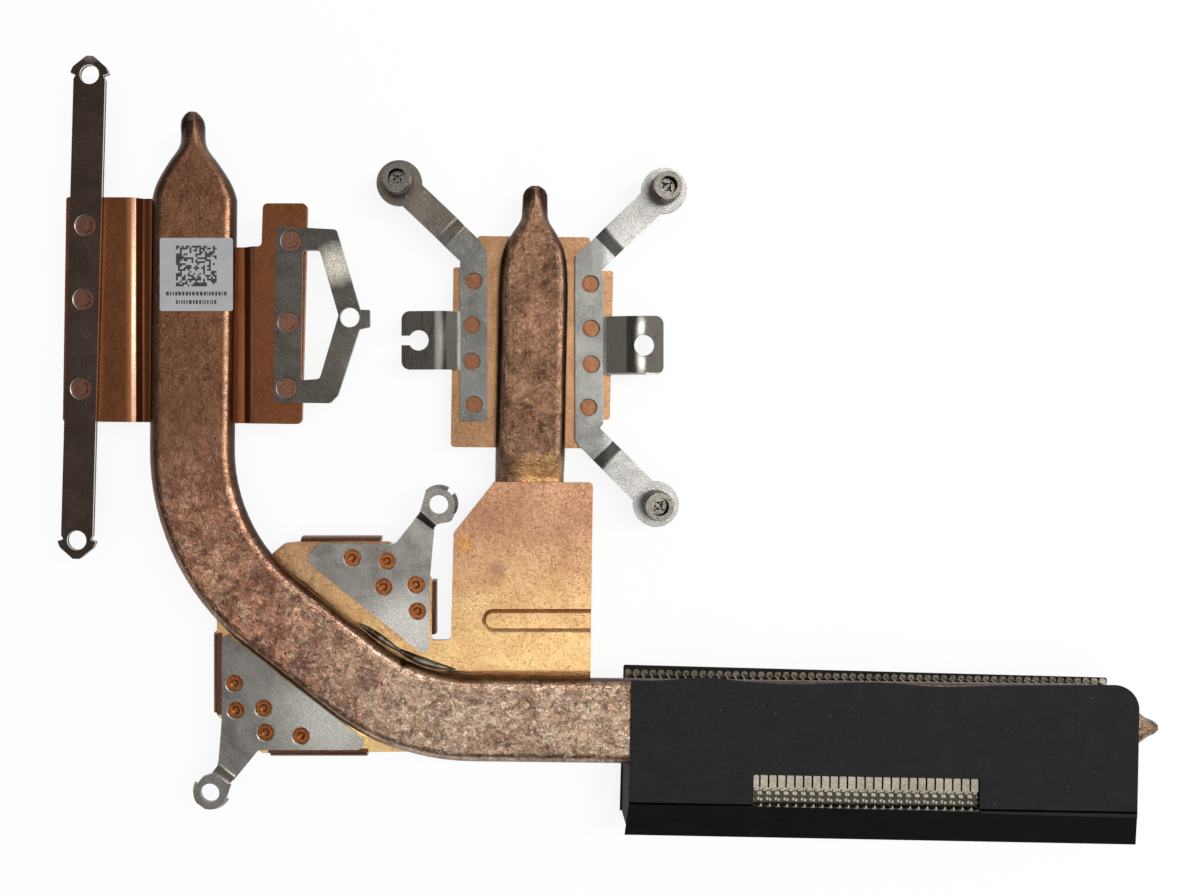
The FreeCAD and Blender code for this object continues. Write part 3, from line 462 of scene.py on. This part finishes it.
def plate_metal(name, low, high, spot, height, struck_tone, painted_bands=()):
    """Stamped copper: sandy grain, faint blotches, stains and a painted highlight along its rim.

    Height is where the struck-over bosses start, and struck_tone is their colour.
    The painted stretches along X or Y are painted highlight and painted shade where the plate bends."""
    n = Nodes(name, 1.0)
    blotch = n.ramp(n.noise(0.16, 4.0, 0.6, distortion=0.8), 0.36, 0.66)
    speckle = n.ramp(n.noise(4.2, 5.0, 0.85), 0.4, 0.62)
    base = n.mix(blotch, low, high)
    base = n.mix(n.times(speckle, 0.6), base, spot)
    stains = n.ramp(n.noise(1.0, 6.0, 0.8), 0.6, 0.72)
    base = n.mix(n.times(stains, 0.5), base, dimmed(low, 0.4))
    # Painted highlight and painted shade in stretches along X or Y
    for axis, start, end, soft, colour in painted_bands:
        base = n.mix(n.between(axis, start, end, soft), base, colour)
    # Painted highlight on the rounded edge under the top face
    base = n.mix(n.times(n.rim(height), 0.5), base, srgb(240, 200, 168))
    struck = n.beyond("Z", (height + 0.02) * MM, (height + 0.06) * MM)
    base = n.mix(struck, base, n.mix(speckle, dimmed(struck_tone, 0.45), struck_tone))
    rough = n.ramp(n.noise(2.5, 4.0, 0.6), 0.3, 0.7, 0.28, 0.44)
    return n.finish(base, rough, [(n.noise(4.5, 4.0, 0.8), 0.02), (n.noise(0.7, 3.0, 0.55), 0.05)])


def base_plate_metal():
    """Warm copper with curled scratches, which turns golden towards the pipe's run."""
    n = Nodes("plate_copper", 1.0)
    golden = n.beyond("Y", plan(0, GOLDEN_START).y, plan(0, GOLDEN_FULL).y)
    blotch = n.ramp(n.noise(0.2, 4.0, 0.6, distortion=0.8), 0.36, 0.66)
    speckle = n.ramp(n.noise(4.6, 5.0, 0.85), 0.4, 0.62)
    worms = n.times(n.ridges(2.0, 0.05, 1.0, 0.8), n.some(1.7, 0.42, 0.6))
    rosy = n.mix(blotch, srgb(162, 119, 92), srgb(186, 142, 112))
    yellow = n.mix(blotch, srgb(230, 182, 124), srgb(254, 220, 156))
    base = n.mix(golden, rosy, yellow)
    base = n.mix(n.times(speckle, 0.5), base, n.mix(golden, srgb(122, 84, 60), srgb(176, 128, 82)))
    base = n.mix(n.times(worms, 0.16), base, srgb(255, 226, 184))
    dark = n.ramp(n.noise(3.2, 5.0, 0.85), 0.62, 0.7)
    base = n.mix(n.times(dark, 0.6), base, srgb(112, 74, 50))
    stained = n.beyond("X", plan(STAINS_START, 0).x, plan(STAINS_FULL, 0).x)
    stains = n.times(n.ramp(n.noise(0.6, 6.0, 0.78), 0.56, 0.68), stained)
    base = n.mix(n.times(stains, 0.6), base, srgb(104, 74, 52))
    blots = [((38.6, 0.5), 1.5, srgb(206, 144, 62)), ((43.4, -3.2), 1.4, srgb(120, 100, 92))]
    for place, reach, colour in blots:
        base = n.mix(n.times(n.near(place, reach), 0.45), base, colour)
    # Painted shadow in a band beside the pipe
    base = n.mix(n.times(n.between("Y", *PIPE_SHADOW_BAND, 0.3), 0.75), base, srgb(140, 78, 48))
    # Painted shade on the plate's lower faces and turned-down edges
    low = n.beyond("Z", (PIPE_Z - 0.3) * MM, (PIPE_Z - 0.36) * MM)
    for along, across in PLATE_FLANGES:
        low = n.math("MAXIMUM", low, n.times(n.between("X", *along), n.between("Y", *across)))
    base = n.mix(low, base, n.mix(speckle, srgb(84, 52, 40), srgb(124, 84, 64)))
    struck = n.beyond("Z", (PIPE_Z + 0.02) * MM, (PIPE_Z + 0.06) * MM)
    base = n.mix(struck, base, n.mix(speckle, srgb(96, 52, 32), srgb(186, 116, 66)))
    rough = n.ramp(n.noise(2.5, 4.0, 0.6), 0.3, 0.7, 0.26, 0.42)
    relief = [(worms, -0.03), (n.noise(4.6, 4.0, 0.8), 0.032), (n.noise(0.6, 3.0, 0.55), 0.05)]
    return n.finish(base, rough, relief)


def fin_metal():
    """Pale tinned fins, dull and dotted where their folds hook into each other."""
    n = Nodes("fin_copper", 1.0)
    speckle = n.ramp(n.noise(4.2, 5.0, 0.85), 0.4, 0.62)
    blotch = n.ramp(n.noise(0.3, 4.0, 0.6), 0.36, 0.66)
    base = n.mix(blotch, srgb(134, 126, 110), srgb(164, 156, 140))
    base = n.mix(n.times(speckle, 0.5), base, srgb(214, 207, 192))
    own, split = n.stack_place()
    grid = n.add("ShaderNodeTexVoronoi")
    grid.inputs["Scale"].default_value = 1.0
    grid.inputs["Randomness"].default_value = 0.0
    n.link(n.scaled(own, (1 / FIN_PITCH, 1 / HOOK_ROWS, 0.0)), grid.inputs["Vector"])
    dots = n.ramp(grid.outputs["Distance"], 0.2, 0.34, 1.0, 0.0)
    inwards = split.outputs["Y"]
    hooked = n.times(n.ramp(inwards, *HOOK_START), n.ramp(inwards, *HOOK_END, 1.0, 0.0))
    base = n.mix(n.times(hooked, 0.9), base, n.mix(dots, srgb(52, 49, 43), srgb(184, 178, 162)))
    wall = n.ramp(split.outputs["X"], 0.1, 0.3, 1.0, 0.0)
    base = n.mix(wall, base, srgb(60, 57, 51))
    n.link(n.math("SUBTRACT", 1.0, wall), n.shader.inputs["Metallic"])
    rough = n.mix(wall, n.ramp(n.noise(2.5, 4.0, 0.6), 0.3, 0.7, 0.3, 0.46), (0.9, 0.9, 0.9, 1.0))
    return n.finish(base, rough, [(n.noise(4.5, 4.0, 0.8), 0.03), (n.noise(0.7, 3.0, 0.55), 0.05)])


def steel_metal(name, low, high, top, rough=(0.26, 0.38), streaks=0.3, tab=None, beyond=None, blots=()):
    """Satin steel with a sandy grain, faint scuffs along one heading and a painted highlight along its rim.

    Top is the height of its main face. Tab holds the edges of the bent, brushed side
    tab and the stretches of painted highlight and painted shade across it. Beyond is the start of another
    stretch, with
    its two tones. Blots are worn places: where, how wide and of what colour."""
    n = Nodes(name, 1.0)
    speckle = n.ramp(n.noise(4.2, 5.0, 0.85), 0.4, 0.62)
    cloud = n.ramp(n.noise(0.17, 5.0, 0.66, distortion=0.5), 0.4, 0.6)
    streak = n.ramp(n.noise(1.0, 5.0, 0.75, n.scaled(n.place, (0.5, 5.0, 1.0), SCUFF_TURN)), 0.38, 0.62)
    if beyond:
        start, tones = beyond
        far = n.beyond(*start)
        low, high = n.mix(far, low, tones[0]), n.mix(far, high, tones[1])
    base = n.mix(n.times(n.math("ADD", speckle, cloud), 0.5), low, high)
    base = n.mix(n.times(streak, streaks), base, high)
    stains = n.ramp(n.noise(1.6, 6.0, 0.8), 0.58, 0.7)
    base = n.mix(n.times(stains, 0.45), base, srgb(70, 66, 62))
    scuffs = n.ramp(n.noise(1.0, 2.0, 0.6, n.scaled(n.place, (0.4, 8.0, 1.0), SCUFF_TURN)), 0.68, 0.76)
    base = n.mix(n.times(scuffs, 0.35), base, srgb(226, 226, 222))
    for place, reach, colour in blots:
        base = n.mix(n.times(n.near(place, reach), n.ramp(speckle, 0.0, 1.0, 0.35, 0.9)), base, colour)
    # Painted highlight on the rounded edge under the top face
    base = n.mix(n.times(n.rim(top), 0.8), base, srgb(246, 244, 238))
    relief = [(n.noise(4.6, 4.0, 0.8), 0.03), (n.noise(0.8, 3.0, 0.55), 0.03)]
    rough = n.ramp(n.noise(5.0, 3.0, 0.6), 0.3, 0.7, *rough)
    if tab:
        (start, low_side, high_side), painted_bands = tab
        share = n.times(n.beyond("X", *start), n.times(n.beyond("Y", *low_side), n.beyond("Y", *high_side)))
        brush = n.ramp(n.noise(1.0, 4.0, 0.7, n.scaled(n.place, (9.0, 0.25, 1.0))), 0.3, 0.7)
        bent = n.mix(n.times(brush, 0.3), srgb(54, 51, 46), srgb(140, 136, 128))
        # Painted highlight and painted shade across the tab
        for start, end, soft, colour in painted_bands:
            bent = n.mix(n.times(n.between("X", start, end, soft), 0.85), bent, colour)
        base = n.mix(share, base, bent)
        rough = n.mix(share, rough, (0.22, 0.22, 0.22, 1.0))
    return n.finish(base, rough, relief)


def turned_steel(name, low, high):
    """Bright turned steel, dulled by grime."""
    n = Nodes(name, 1.0)
    speckle = n.ramp(n.noise(5.0, 4.0, 0.8), 0.36, 0.64)
    base = n.mix(speckle, low, high)
    grime = n.ramp(n.noise(1.4, 5.0, 0.7), 0.52, 0.68)
    base = n.mix(n.times(grime, 0.5), base, srgb(54, 50, 46))
    return n.finish(base, n.ramp(n.noise(3.0), 0.3, 0.7, 0.18, 0.3), [(n.noise(9.0, 3.0, 0.7), 0.012)])


def tape_film(name, low, high, fleck, gloss):
    """Matte black tape: fine dents, dust, small light flecks and a dark line at its front edge."""
    n = Nodes(name)
    cloud = n.ramp(n.noise(0.3, 4.0, 0.6), 0.3, 0.7)
    weave = n.ramp(n.noise(4.5, 3.0, 0.75), 0.35, 0.65)
    base = n.mix(n.times(n.math("ADD", cloud, weave), 0.5), low, high)
    coarse = n.ramp(n.spots(0.45), 0.03, 0.07, 1.0, 0.0)
    fine = n.times(n.ramp(n.spots(1.6), 0.1, 0.16, 0.4, 0.0), n.some(0.12, 0.45, 0.6))
    base = n.mix(n.times(n.math("MAXIMUM", coarse, fine), 0.5), base, fleck)
    inwards = n.stack_place()[1].outputs["Y"]
    edge = n.times(n.ramp(inwards, *TAPE_EDGE_START), n.ramp(inwards, *TAPE_EDGE_END, 1.0, 0.0))
    base = n.mix(edge, base, srgb(3, 3, 4))
    n.link(n.ramp(edge, 0.0, 1.0, gloss, 0.0), n.shader.inputs["Specular IOR Level"])
    rough = n.ramp(n.noise(2.0, 3.0, 0.6), 0.3, 0.7, 0.48, 0.66)
    return n.finish(base, rough, [(n.noise(3.0, 4.0, 0.7), 0.035), (n.noise(0.25, 2.0, 0.5), 0.12)])


def label_paper():
    """Pale label stock, a little wavy."""
    n = Nodes("label_film")
    cloud = n.ramp(n.noise(0.4, 3.0, 0.6), 0.3, 0.7)
    base = n.mix(cloud, srgb(158, 160, 161), srgb(170, 171, 172))
    return n.finish(base, 0.45, [(n.noise(2.0, 2.0, 0.5), 0.012), (n.noise(0.3, 2.0, 0.5), 0.06)])


def label_ink():
    """Black print, worn thin in places."""
    n = Nodes("label_ink")
    base = n.mix(n.ramp(n.noise(4.0), 0.35, 0.7), srgb(30, 30, 32), srgb(66, 66, 68))
    return n.finish(base, 0.6, [(n.noise(6.0), 0.004)])


def solder_metal():
    """Solder that is bright where it flowed, and black where flux burnt on it."""
    n = Nodes("solder", 1.0)
    crust = n.ramp(n.noise(0.5, 3.0, 0.6), 0.42, 0.6)
    base = n.mix(crust, srgb(60, 51, 43), srgb(122, 115, 101))
    base = n.mix(n.times(n.ramp(n.noise(2.4, 4.0, 0.7), 0.56, 0.66), 0.5), base, srgb(40, 30, 24))
    return n.finish(base, n.ramp(n.noise(2.0), 0.3, 0.7, 0.42, 0.56), [(n.noise(1.2, 3.0, 0.6), 0.03)])


def worked_below(n):
    """Worked look that comes in at the main pipe's bends and grows pale along its last run."""
    return n.beyond("Y", plan(0, 20).y, plan(0, -10).y), n.beyond("X", plan(12, 0).x, plan(32, 0).x)


def lightly_worked(n):
    """Worked look in patches over the short pipe."""
    return n.ramp(n.noise(0.22), 0.35, 0.65, 0.25, 0.8), n.ramp(n.noise(0.3), 0.4, 0.7, 0.0, 0.2)


def tab_edges(start):
    """Edges of a side tab in metres: where it starts along X, then its two sides along Y."""
    sides = [[plan(0, y).y for y in side] for side in (TAB_LOW, TAB_HIGH)]
    return ([plan(x, 0).x for x in start], *sides)


def pipe_looks():
    """The long pipe, patchy and with painted glints along its last run, and the short one, drawn
    lengthwise.
    """
    main = pipe_metal(
        "pipe_copper", (MAIN_CORNERS, MAIN_RADII, MAIN_HALF, MAIN_ENDS),
        (srgb(82, 52, 37), srgb(116, 78, 57), srgb(164, 118, 90)),
        (srgb(162, 112, 92), srgb(236, 174, 142), srgb(255, 222, 190),
         srgb(255, 236, 206), srgb(112, 79, 70)),
        worked_below,
        blots=[((29.9, -16.3), 0.8, srgb(44, 28, 22)), ((139.0, -25.8), 5.6, srgb(122, 70, 42))],
        # Painted shade along the left shoulder of the pipe's left run
        painted_bands=[("X", -8.0, -5.6, 1.3, srgb(66, 38, 26))])
    short = pipe_metal(
        "short_pipe_copper", (SHORT_CORNERS, (), SHORT_HALF, SHORT_ENDS),
        (srgb(92, 64, 50), srgb(130, 95, 74), srgb(186, 140, 112)),
        (srgb(102, 73, 57), srgb(152, 113, 88), srgb(196, 152, 122),
         srgb(236, 188, 150), srgb(64, 42, 35)),
        lightly_worked, streaks=0.5,
        # Painted highlights where the short pipe dips, given as two pale golden blots
        blots=[((48.3, 11.0), 3.2, srgb(255, 200, 136)), ((51.6, 11.0), 3.2, srgb(255, 200, 136))])
    return {"main_heat_pipe": main, "short_heat_pipe": short}


def plate_looks():
    """The copper plates, with painted highlight and painted shade where the left one is bent down to its
    floor.
    """
    # Painted highlight on the bends' crests and painted shade on their steep sides
    painted_bend_light = [("X", -9.2, -8.9, 1.0, srgb(196, 132, 90)), ("X", -8.85, -8.05, 0.12, srgb(30, 11, 4)),
                  ("X", -7.95, -7.75, 0.1, srgb(112, 66, 44)), ("X", -7.65, -7.1, 0.1, srgb(78, 42, 26)),
                  ("X", 5.4, 7.0, 0.15, srgb(142, 86, 56)), ("X", 7.0, 7.9, 0.15, srgb(176, 106, 62))]
    left = plate_metal("left_copper", srgb(90, 51, 32), srgb(106, 64, 41), srgb(146, 92, 60),
                       WING_Z, srgb(140, 99, 82), painted_bend_light)
    middle = plate_metal("middle_copper", srgb(108, 78, 54), srgb(126, 94, 67), srgb(176, 136, 102),
                         ARM_Z, srgb(134, 90, 66))
    return {"left_plate": left, "middle_plate": middle, "base_plate": base_plate_metal()}


def steel_looks():
    """The steel brackets: a brown strip, grey bars with brushed tabs, and worn springs."""
    strip = steel_metal("strip_steel", srgb(61, 49, 43), srgb(83, 69, 61), WING_Z + STEEL_T, (0.3, 0.42),
                        blots=[((-15.0, 70.8), 1.3, srgb(170, 166, 160))])
    loop = steel_metal("loop_steel", srgb(62, 58, 53), srgb(96, 91, 85), WING_Z + STEEL_T,
                       blots=[((20.2, 40.8), 3.6, srgb(236, 230, 212)),
                              ((22.4, 26.5), 1.6, srgb(110, 108, 110))])
    # Painted highlight at the left tab's crest, painted shade between it and the bar
    left_tab_painted_light = [(34.6, 35.0, 0.5, srgb(156, 153, 147)), (35.7, 37.6, 0.3, srgb(38, 36, 32))]
    dark_arm = (("Y", plan(0, 44.5).y, plan(0, 46).y), (srgb(74, 67, 61), srgb(112, 104, 96)))
    left = steel_metal("left_arm_steel", srgb(72, 71, 67), srgb(110, 109, 104), ARM_Z + STEEL_T,
                       streaks=0.15, tab=(tab_edges(LEFT_TAB_START), left_tab_painted_light), beyond=dark_arm)
    # Painted shade across the right tab, with a painted highlight near its crest
    right_tab_painted_light = [(59.0, 62.0, 0.3, srgb(90, 86, 80)), (62.2, 63.2, 0.3, srgb(44, 42, 38)),
                   (63.9, 64.3, 0.5, srgb(172, 169, 162)), (65.0, 68.0, 0.3, srgb(46, 44, 40))]
    # Painted light: brighter tones on the right bracket's arms, where more light falls
    painted_lit_arm_tones = (("X", plan(58.5, 0).x, plan(59.5, 0).x), (srgb(112, 110, 106), srgb(160, 158, 154)))
    right = steel_metal("right_arm_steel", srgb(84, 84, 80), srgb(122, 121, 116), ARM_Z + STEEL_T,
                        streaks=0.15, tab=(tab_edges(RIGHT_TAB_START), right_tab_painted_light), beyond=painted_lit_arm_tones)
    worn = srgb(228, 225, 216)
    spring = steel_metal("spring_steel", srgb(92, 86, 80), srgb(156, 152, 146), PIPE_Z + STEEL_T,
                         blots=[((29.6, -12.2), 8.5, worn), ((19.0, -24.6), 10.0, worn)])
    return {"left_strip": strip, "loop_bracket": loop, "left_arm_bracket": left,
            "right_arm_bracket": right, "spring": spring}


def materials():
    """Every node's material, by the key that material_key gives."""
    others = {
        "fin_stack": fin_metal(),
        "housing": turned_steel("housing_steel", srgb(74, 68, 62), srgb(138, 132, 123)),
        "screw": turned_steel("screw_steel", srgb(72, 68, 64), srgb(142, 138, 132)),
        "tape": tape_film("black_tape", srgb(14, 14, 16), srgb(33, 33, 35), srgb(96, 94, 90), 0.16),
        "front_strip": tape_film("black_strip", srgb(11, 12, 12), srgb(19, 20, 20), srgb(60, 60, 58), 0.05),
        "label": label_paper(),
    }
    return {**pipe_looks(), **plate_looks(), **steel_looks(), **others}


def material_key(name):
    """Key of a node's material, where several nodes share one."""
    for ending, key in (("corner_spring", "spring"), ("_tape", "tape"), ("_film", "tape")):
        if name.endswith(ending):
            return key
    for start, key in (("screw_housing", "housing"), ("captive_screw", "screw")):
        if name.startswith(start):
            return key
    return name


def edge_round(name):
    """Width of the fine round on a node's sharp edges, in millimetres."""
    if name in ("fin_stack", "label", "main_heat_pipe", "short_heat_pipe") or name.startswith("captive"):
        return 0.0
    if name in ("top_tape", "front_strip", "bottom_film"):
        return FILM_ROUND
    if name.startswith("screw_housing"):
        return COPPER_ROUND / 2
    return COPPER_ROUND if name.endswith("plate") else STEEL_ROUND


def dress(made):
    """Gives each carried-over node its material, and its sharp edges a fine round."""
    for name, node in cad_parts.items():
        node.data.materials.clear()
        node.data.materials.append(made[material_key(name)])
        weld = node.modifiers.new("weld", "WELD")
        weld.merge_threshold = WELD_REACH * MM
        width = edge_round(name)
        if width:
            bevel = node.modifiers.new("round", "BEVEL")
            bevel.width = width * MM
            bevel.segments = 2
            bevel.limit_method = "ANGLE"
            bevel.angle_limit = math.radians(ROUND_ANGLE)


def piece(name, mesh, material):
    """Adds a mesh as a piece that rides on the heatsink."""
    part = bpy.data.objects.new(name, mesh)
    bpy.context.scene.collection.objects.link(part)
    mesh.materials.append(material)
    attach(part, BODY)
    return part


def box_corners(x, y, wide, deep):
    """Corners of an oblong, counted round from its low left one."""
    return [(x, y), (x + wide, y), (x + wide, y + deep), (x, y + deep)]


def label_print():
    """Block of random cells and two rows of short bars, printed on the label."""
    rng = random.Random(7)
    cell = CODE_SIZE / CODE_CELLS
    left, top = LABEL_CENTRE[0] + CODE_LEFT, LABEL_CENTRE[1] + CODE_TOP
    blocks = []
    for row in range(CODE_CELLS):
        for column in range(CODE_CELLS):
            if rng.random() < CODE_FILL:
                blocks.append(box_corners(left + column * cell, top - (row + 1) * cell, cell, cell))
    for y, start, end in BAR_ROWS:
        x = start
        while x < end:
            wide = rng.uniform(*BAR_WIDTHS)
            blocks.append(box_corners(LABEL_CENTRE[0] + x, LABEL_CENTRE[1] + y, wide, BAR_HEIGHT))
            x += wide + rng.uniform(*BAR_GAPS)
    mesh = bmesh.new()
    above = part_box("label")[1].z / MM + INK_LIFT
    for block in blocks:
        mesh.faces.new([mesh.verts.new(plan(x, y, above)) for x, y in block])
    data = bpy.data.meshes.new("label_print")
    mesh.to_mesh(data)
    piece("label_print", data, label_ink())


def arc_points(centre, radius, start, end, count):
    """Places along an arc in the part's drawing, with their outward angles."""
    out = []
    for i in range(count):
        angle = math.radians(start + (end - start) * i / (count - 1))
        out.append((centre[0] + radius * math.cos(angle), centre[1] + radius * math.sin(angle), angle))
    return out


def line_points(start, end, count):
    """Places along a straight line in the part's drawing, with the angle across it."""
    angle = math.atan2(end[1] - start[1], end[0] - start[0]) + math.pi / 2
    out = []
    for i in range(count):
        share = i / (count - 1)
        out.append((start[0] + (end[0] - start[0]) * share, start[1] + (end[1] - start[1]) * share, angle))
    return out


def run_out(name, route, bottom, width, height, material, seed):
    """Smooth low bead of metal that ran out along a route, widest part way, with fine ends."""
    rng = random.Random(seed)
    mesh = bmesh.new()
    rings = []
    steps = 7
    drift = 0.0
    for i, (x, y, angle) in enumerate(route):
        share = i / (len(route) - 1)
        taper = 0.12 + 0.88 * math.sin(math.pi * share ** 0.8) ** 0.8 if 0 < share < 1 else 0.06
        drift = 0.8 * drift + rng.uniform(-0.035, 0.035)
        half = width / 2 * taper * (1 + drift)
        tall = height * taper * (1 + drift)
        ring = []
        for step in range(steps):
            turn = math.pi * step / (steps - 1)
            across = half * math.cos(turn)
            up = bottom + tall * math.sin(turn) * rng.uniform(0.99, 1.01)
            spot = plan(x + across * math.cos(angle), y + across * math.sin(angle), up)
            ring.append(mesh.verts.new(spot))
        rings.append(ring)
    for first, second in zip(rings, rings[1:]):
        for i in range(steps - 1):
            face = mesh.faces.new((first[i], first[i + 1], second[i + 1], second[i]))
            face.smooth = True
    data = bpy.data.meshes.new(name)
    mesh.to_mesh(data)
    part = piece(name, data, material)
    smooth = part.modifiers.new("smooth", "SUBSURF")
    smooth.levels = smooth.render_levels = 1


def solder():
    """Solder and flux that ran out beside the main pipe, each bead with its width, height and seed."""
    material = solder_metal()
    inner_bend = arc_points(SOLDER_BEND, SOLDER_RADIUS - 0.5, -121, -97, 50)
    inner_run = arc_points(SOLDER_BEND, SOLDER_RADIUS - 0.1, -101, -90, 24)
    beads = [("solder_slant", line_points((23.2, -10.9), (30.0, -15.5), 30), 0.05, 1.0, 0.55, 3),
             ("solder_inner_bend", inner_bend, 0.1, 1.25, 0.75, 4),
             ("solder_inner_run", inner_run, 0.1, 0.45, 0.45, 5),
             ("solder_upper", line_points((9.6, -0.6), (25.0, -13.1), 40), 0.05, 0.35, 0.4, 8),
             ("solder_outer", line_points((4.0, -12.4), (19.6, -24.6), 40), 0.05, 0.4, 0.4, 9),
             ("solder_outer_bend", line_points((23.6, -26.6), (30.4, -29.4), 26), 0.05, 0.9, 0.5, 11)]
    for name, route, sunk, width, height, seed in beads:
        run_out(name, route, PIPE_Z - sunk, width, height, material, seed)


def camera():
    """Camera that looks straight down, with the photo's frame shifted off its axis."""
    data = bpy.data.cameras.new("camera")
    wide, tall = PHOTO_SIZE
    data.sensor_width = SENSOR_WIDTH
    data.lens = data.sensor_width * CAMERA_HEIGHT / (CAMERA_PIXEL * wide)
    data.shift_x = (wide / 2 - CAMERA_SPOT_PIXEL[0]) / wide
    data.shift_y = (CAMERA_SPOT_PIXEL[1] - tall / 2) / wide
    data.clip_start = 0.005
    data.clip_end = 10
    view = bpy.data.objects.new("camera", data)
    bpy.context.scene.collection.objects.link(view)
    view.location = plan(*CAMERA_SPOT, CAMERA_HEIGHT + PIPE_TOP)
    bpy.context.scene.camera = view


def lamp(name, energy, place, size):
    """Oblong lamp that is aimed at the frame's origin."""
    data = bpy.data.lights.new(name, "AREA")
    data.energy = energy
    data.shape = "RECTANGLE"
    data.size, data.size_y = size
    light = bpy.data.objects.new(name, data)
    light.location = place
    light.rotation_euler = (-Vector(place)).to_track_quat("-Z", "Y").to_euler()
    bpy.context.scene.collection.objects.link(light)


def sky():
    """World with a soft light overhead, dimmer ones at the front and the upper right, and dark sides."""
    world = bpy.data.worlds.new("studio")
    world.use_nodes = True
    tree = world.node_tree
    back = tree.nodes["Background"]
    back.inputs["Color"].default_value = (1.0, 1.0, 1.0, 1.0)
    coords = tree.nodes.new("ShaderNodeTexCoord")
    total = None
    for aim, low, high, strength in SKY_LIGHTS:
        dot = tree.nodes.new("ShaderNodeVectorMath")
        dot.operation = "DOT_PRODUCT"
        tree.links.new(coords.outputs["Generated"], dot.inputs[0])
        dot.inputs[1].default_value = Vector(aim).normalized()
        share = tree.nodes.new("ShaderNodeMapRange")
        share.interpolation_type = "SMOOTHSTEP"
        for key, value in (("From Min", low), ("From Max", high), ("To Min", 0.0), ("To Max", strength)):
            share.inputs[key].default_value = value
        tree.links.new(dot.outputs["Value"], share.inputs["Value"])
        added = tree.nodes.new("ShaderNodeMath")
        added.operation = "ADD"
        added.inputs[1].default_value = SKY_BASE
        tree.links.new(share.outputs[0], added.inputs[0])
        if total:
            tree.links.new(total, added.inputs[1])
        total = added.outputs[0]
    tree.links.new(total, back.inputs["Strength"])
    bpy.context.scene.world = world


def floor():
    """Pale floor that lights itself a little, so that its shadows stay faint."""
    mesh = bpy.data.meshes.new("floor")
    side = 2 * FLOOR_REACH
    corners = [(x, y, 0) for x, y in box_corners(-FLOOR_REACH, -FLOOR_REACH, side, side)]
    mesh.from_pydata(corners, [], [(0, 1, 2, 3)])
    ground = bpy.data.objects.new("floor", mesh)
    bpy.context.scene.collection.objects.link(ground)
    n = Nodes("floor")
    pale = n.mix(n.ramp(n.noise(0.05), 0.3, 0.7), srgb(249, 249, 248), srgb(252, 252, 252))
    n.finish(pale, 0.9, [(n.noise(1.0), 0.01)])
    rays = n.add("ShaderNodeLightPath")
    seen = n.math("MAXIMUM", rays.outputs["Is Camera Ray"], rays.outputs["Is Glossy Ray"])
    seen = n.math("MAXIMUM", seen, rays.outputs["Is Transmission Ray"])
    glow = n.add("ShaderNodeEmission")
    glow.inputs["Strength"].default_value = 1.0
    blend = n.add("ShaderNodeMixShader")
    n.link(n.times(seen, FLOOR_GLOW), blend.inputs[0])
    n.link(n.shader.outputs[0], blend.inputs[1])
    n.link(glow.outputs[0], blend.inputs[2])
    n.link(blend.outputs[0], n.tree.nodes["Material Output"].inputs["Surface"])
    mesh.materials.append(n.material)


def main():
    """Dresses the part, then sets up the studio."""
    dress(materials())
    label_print()
    solder()
    camera()
    sky()
    floor()
    lamp("key", KEY_ENERGY, KEY_PLACE, KEY_SIZE)
    bpy.context.scene.view_settings.view_transform = "Standard"


main()
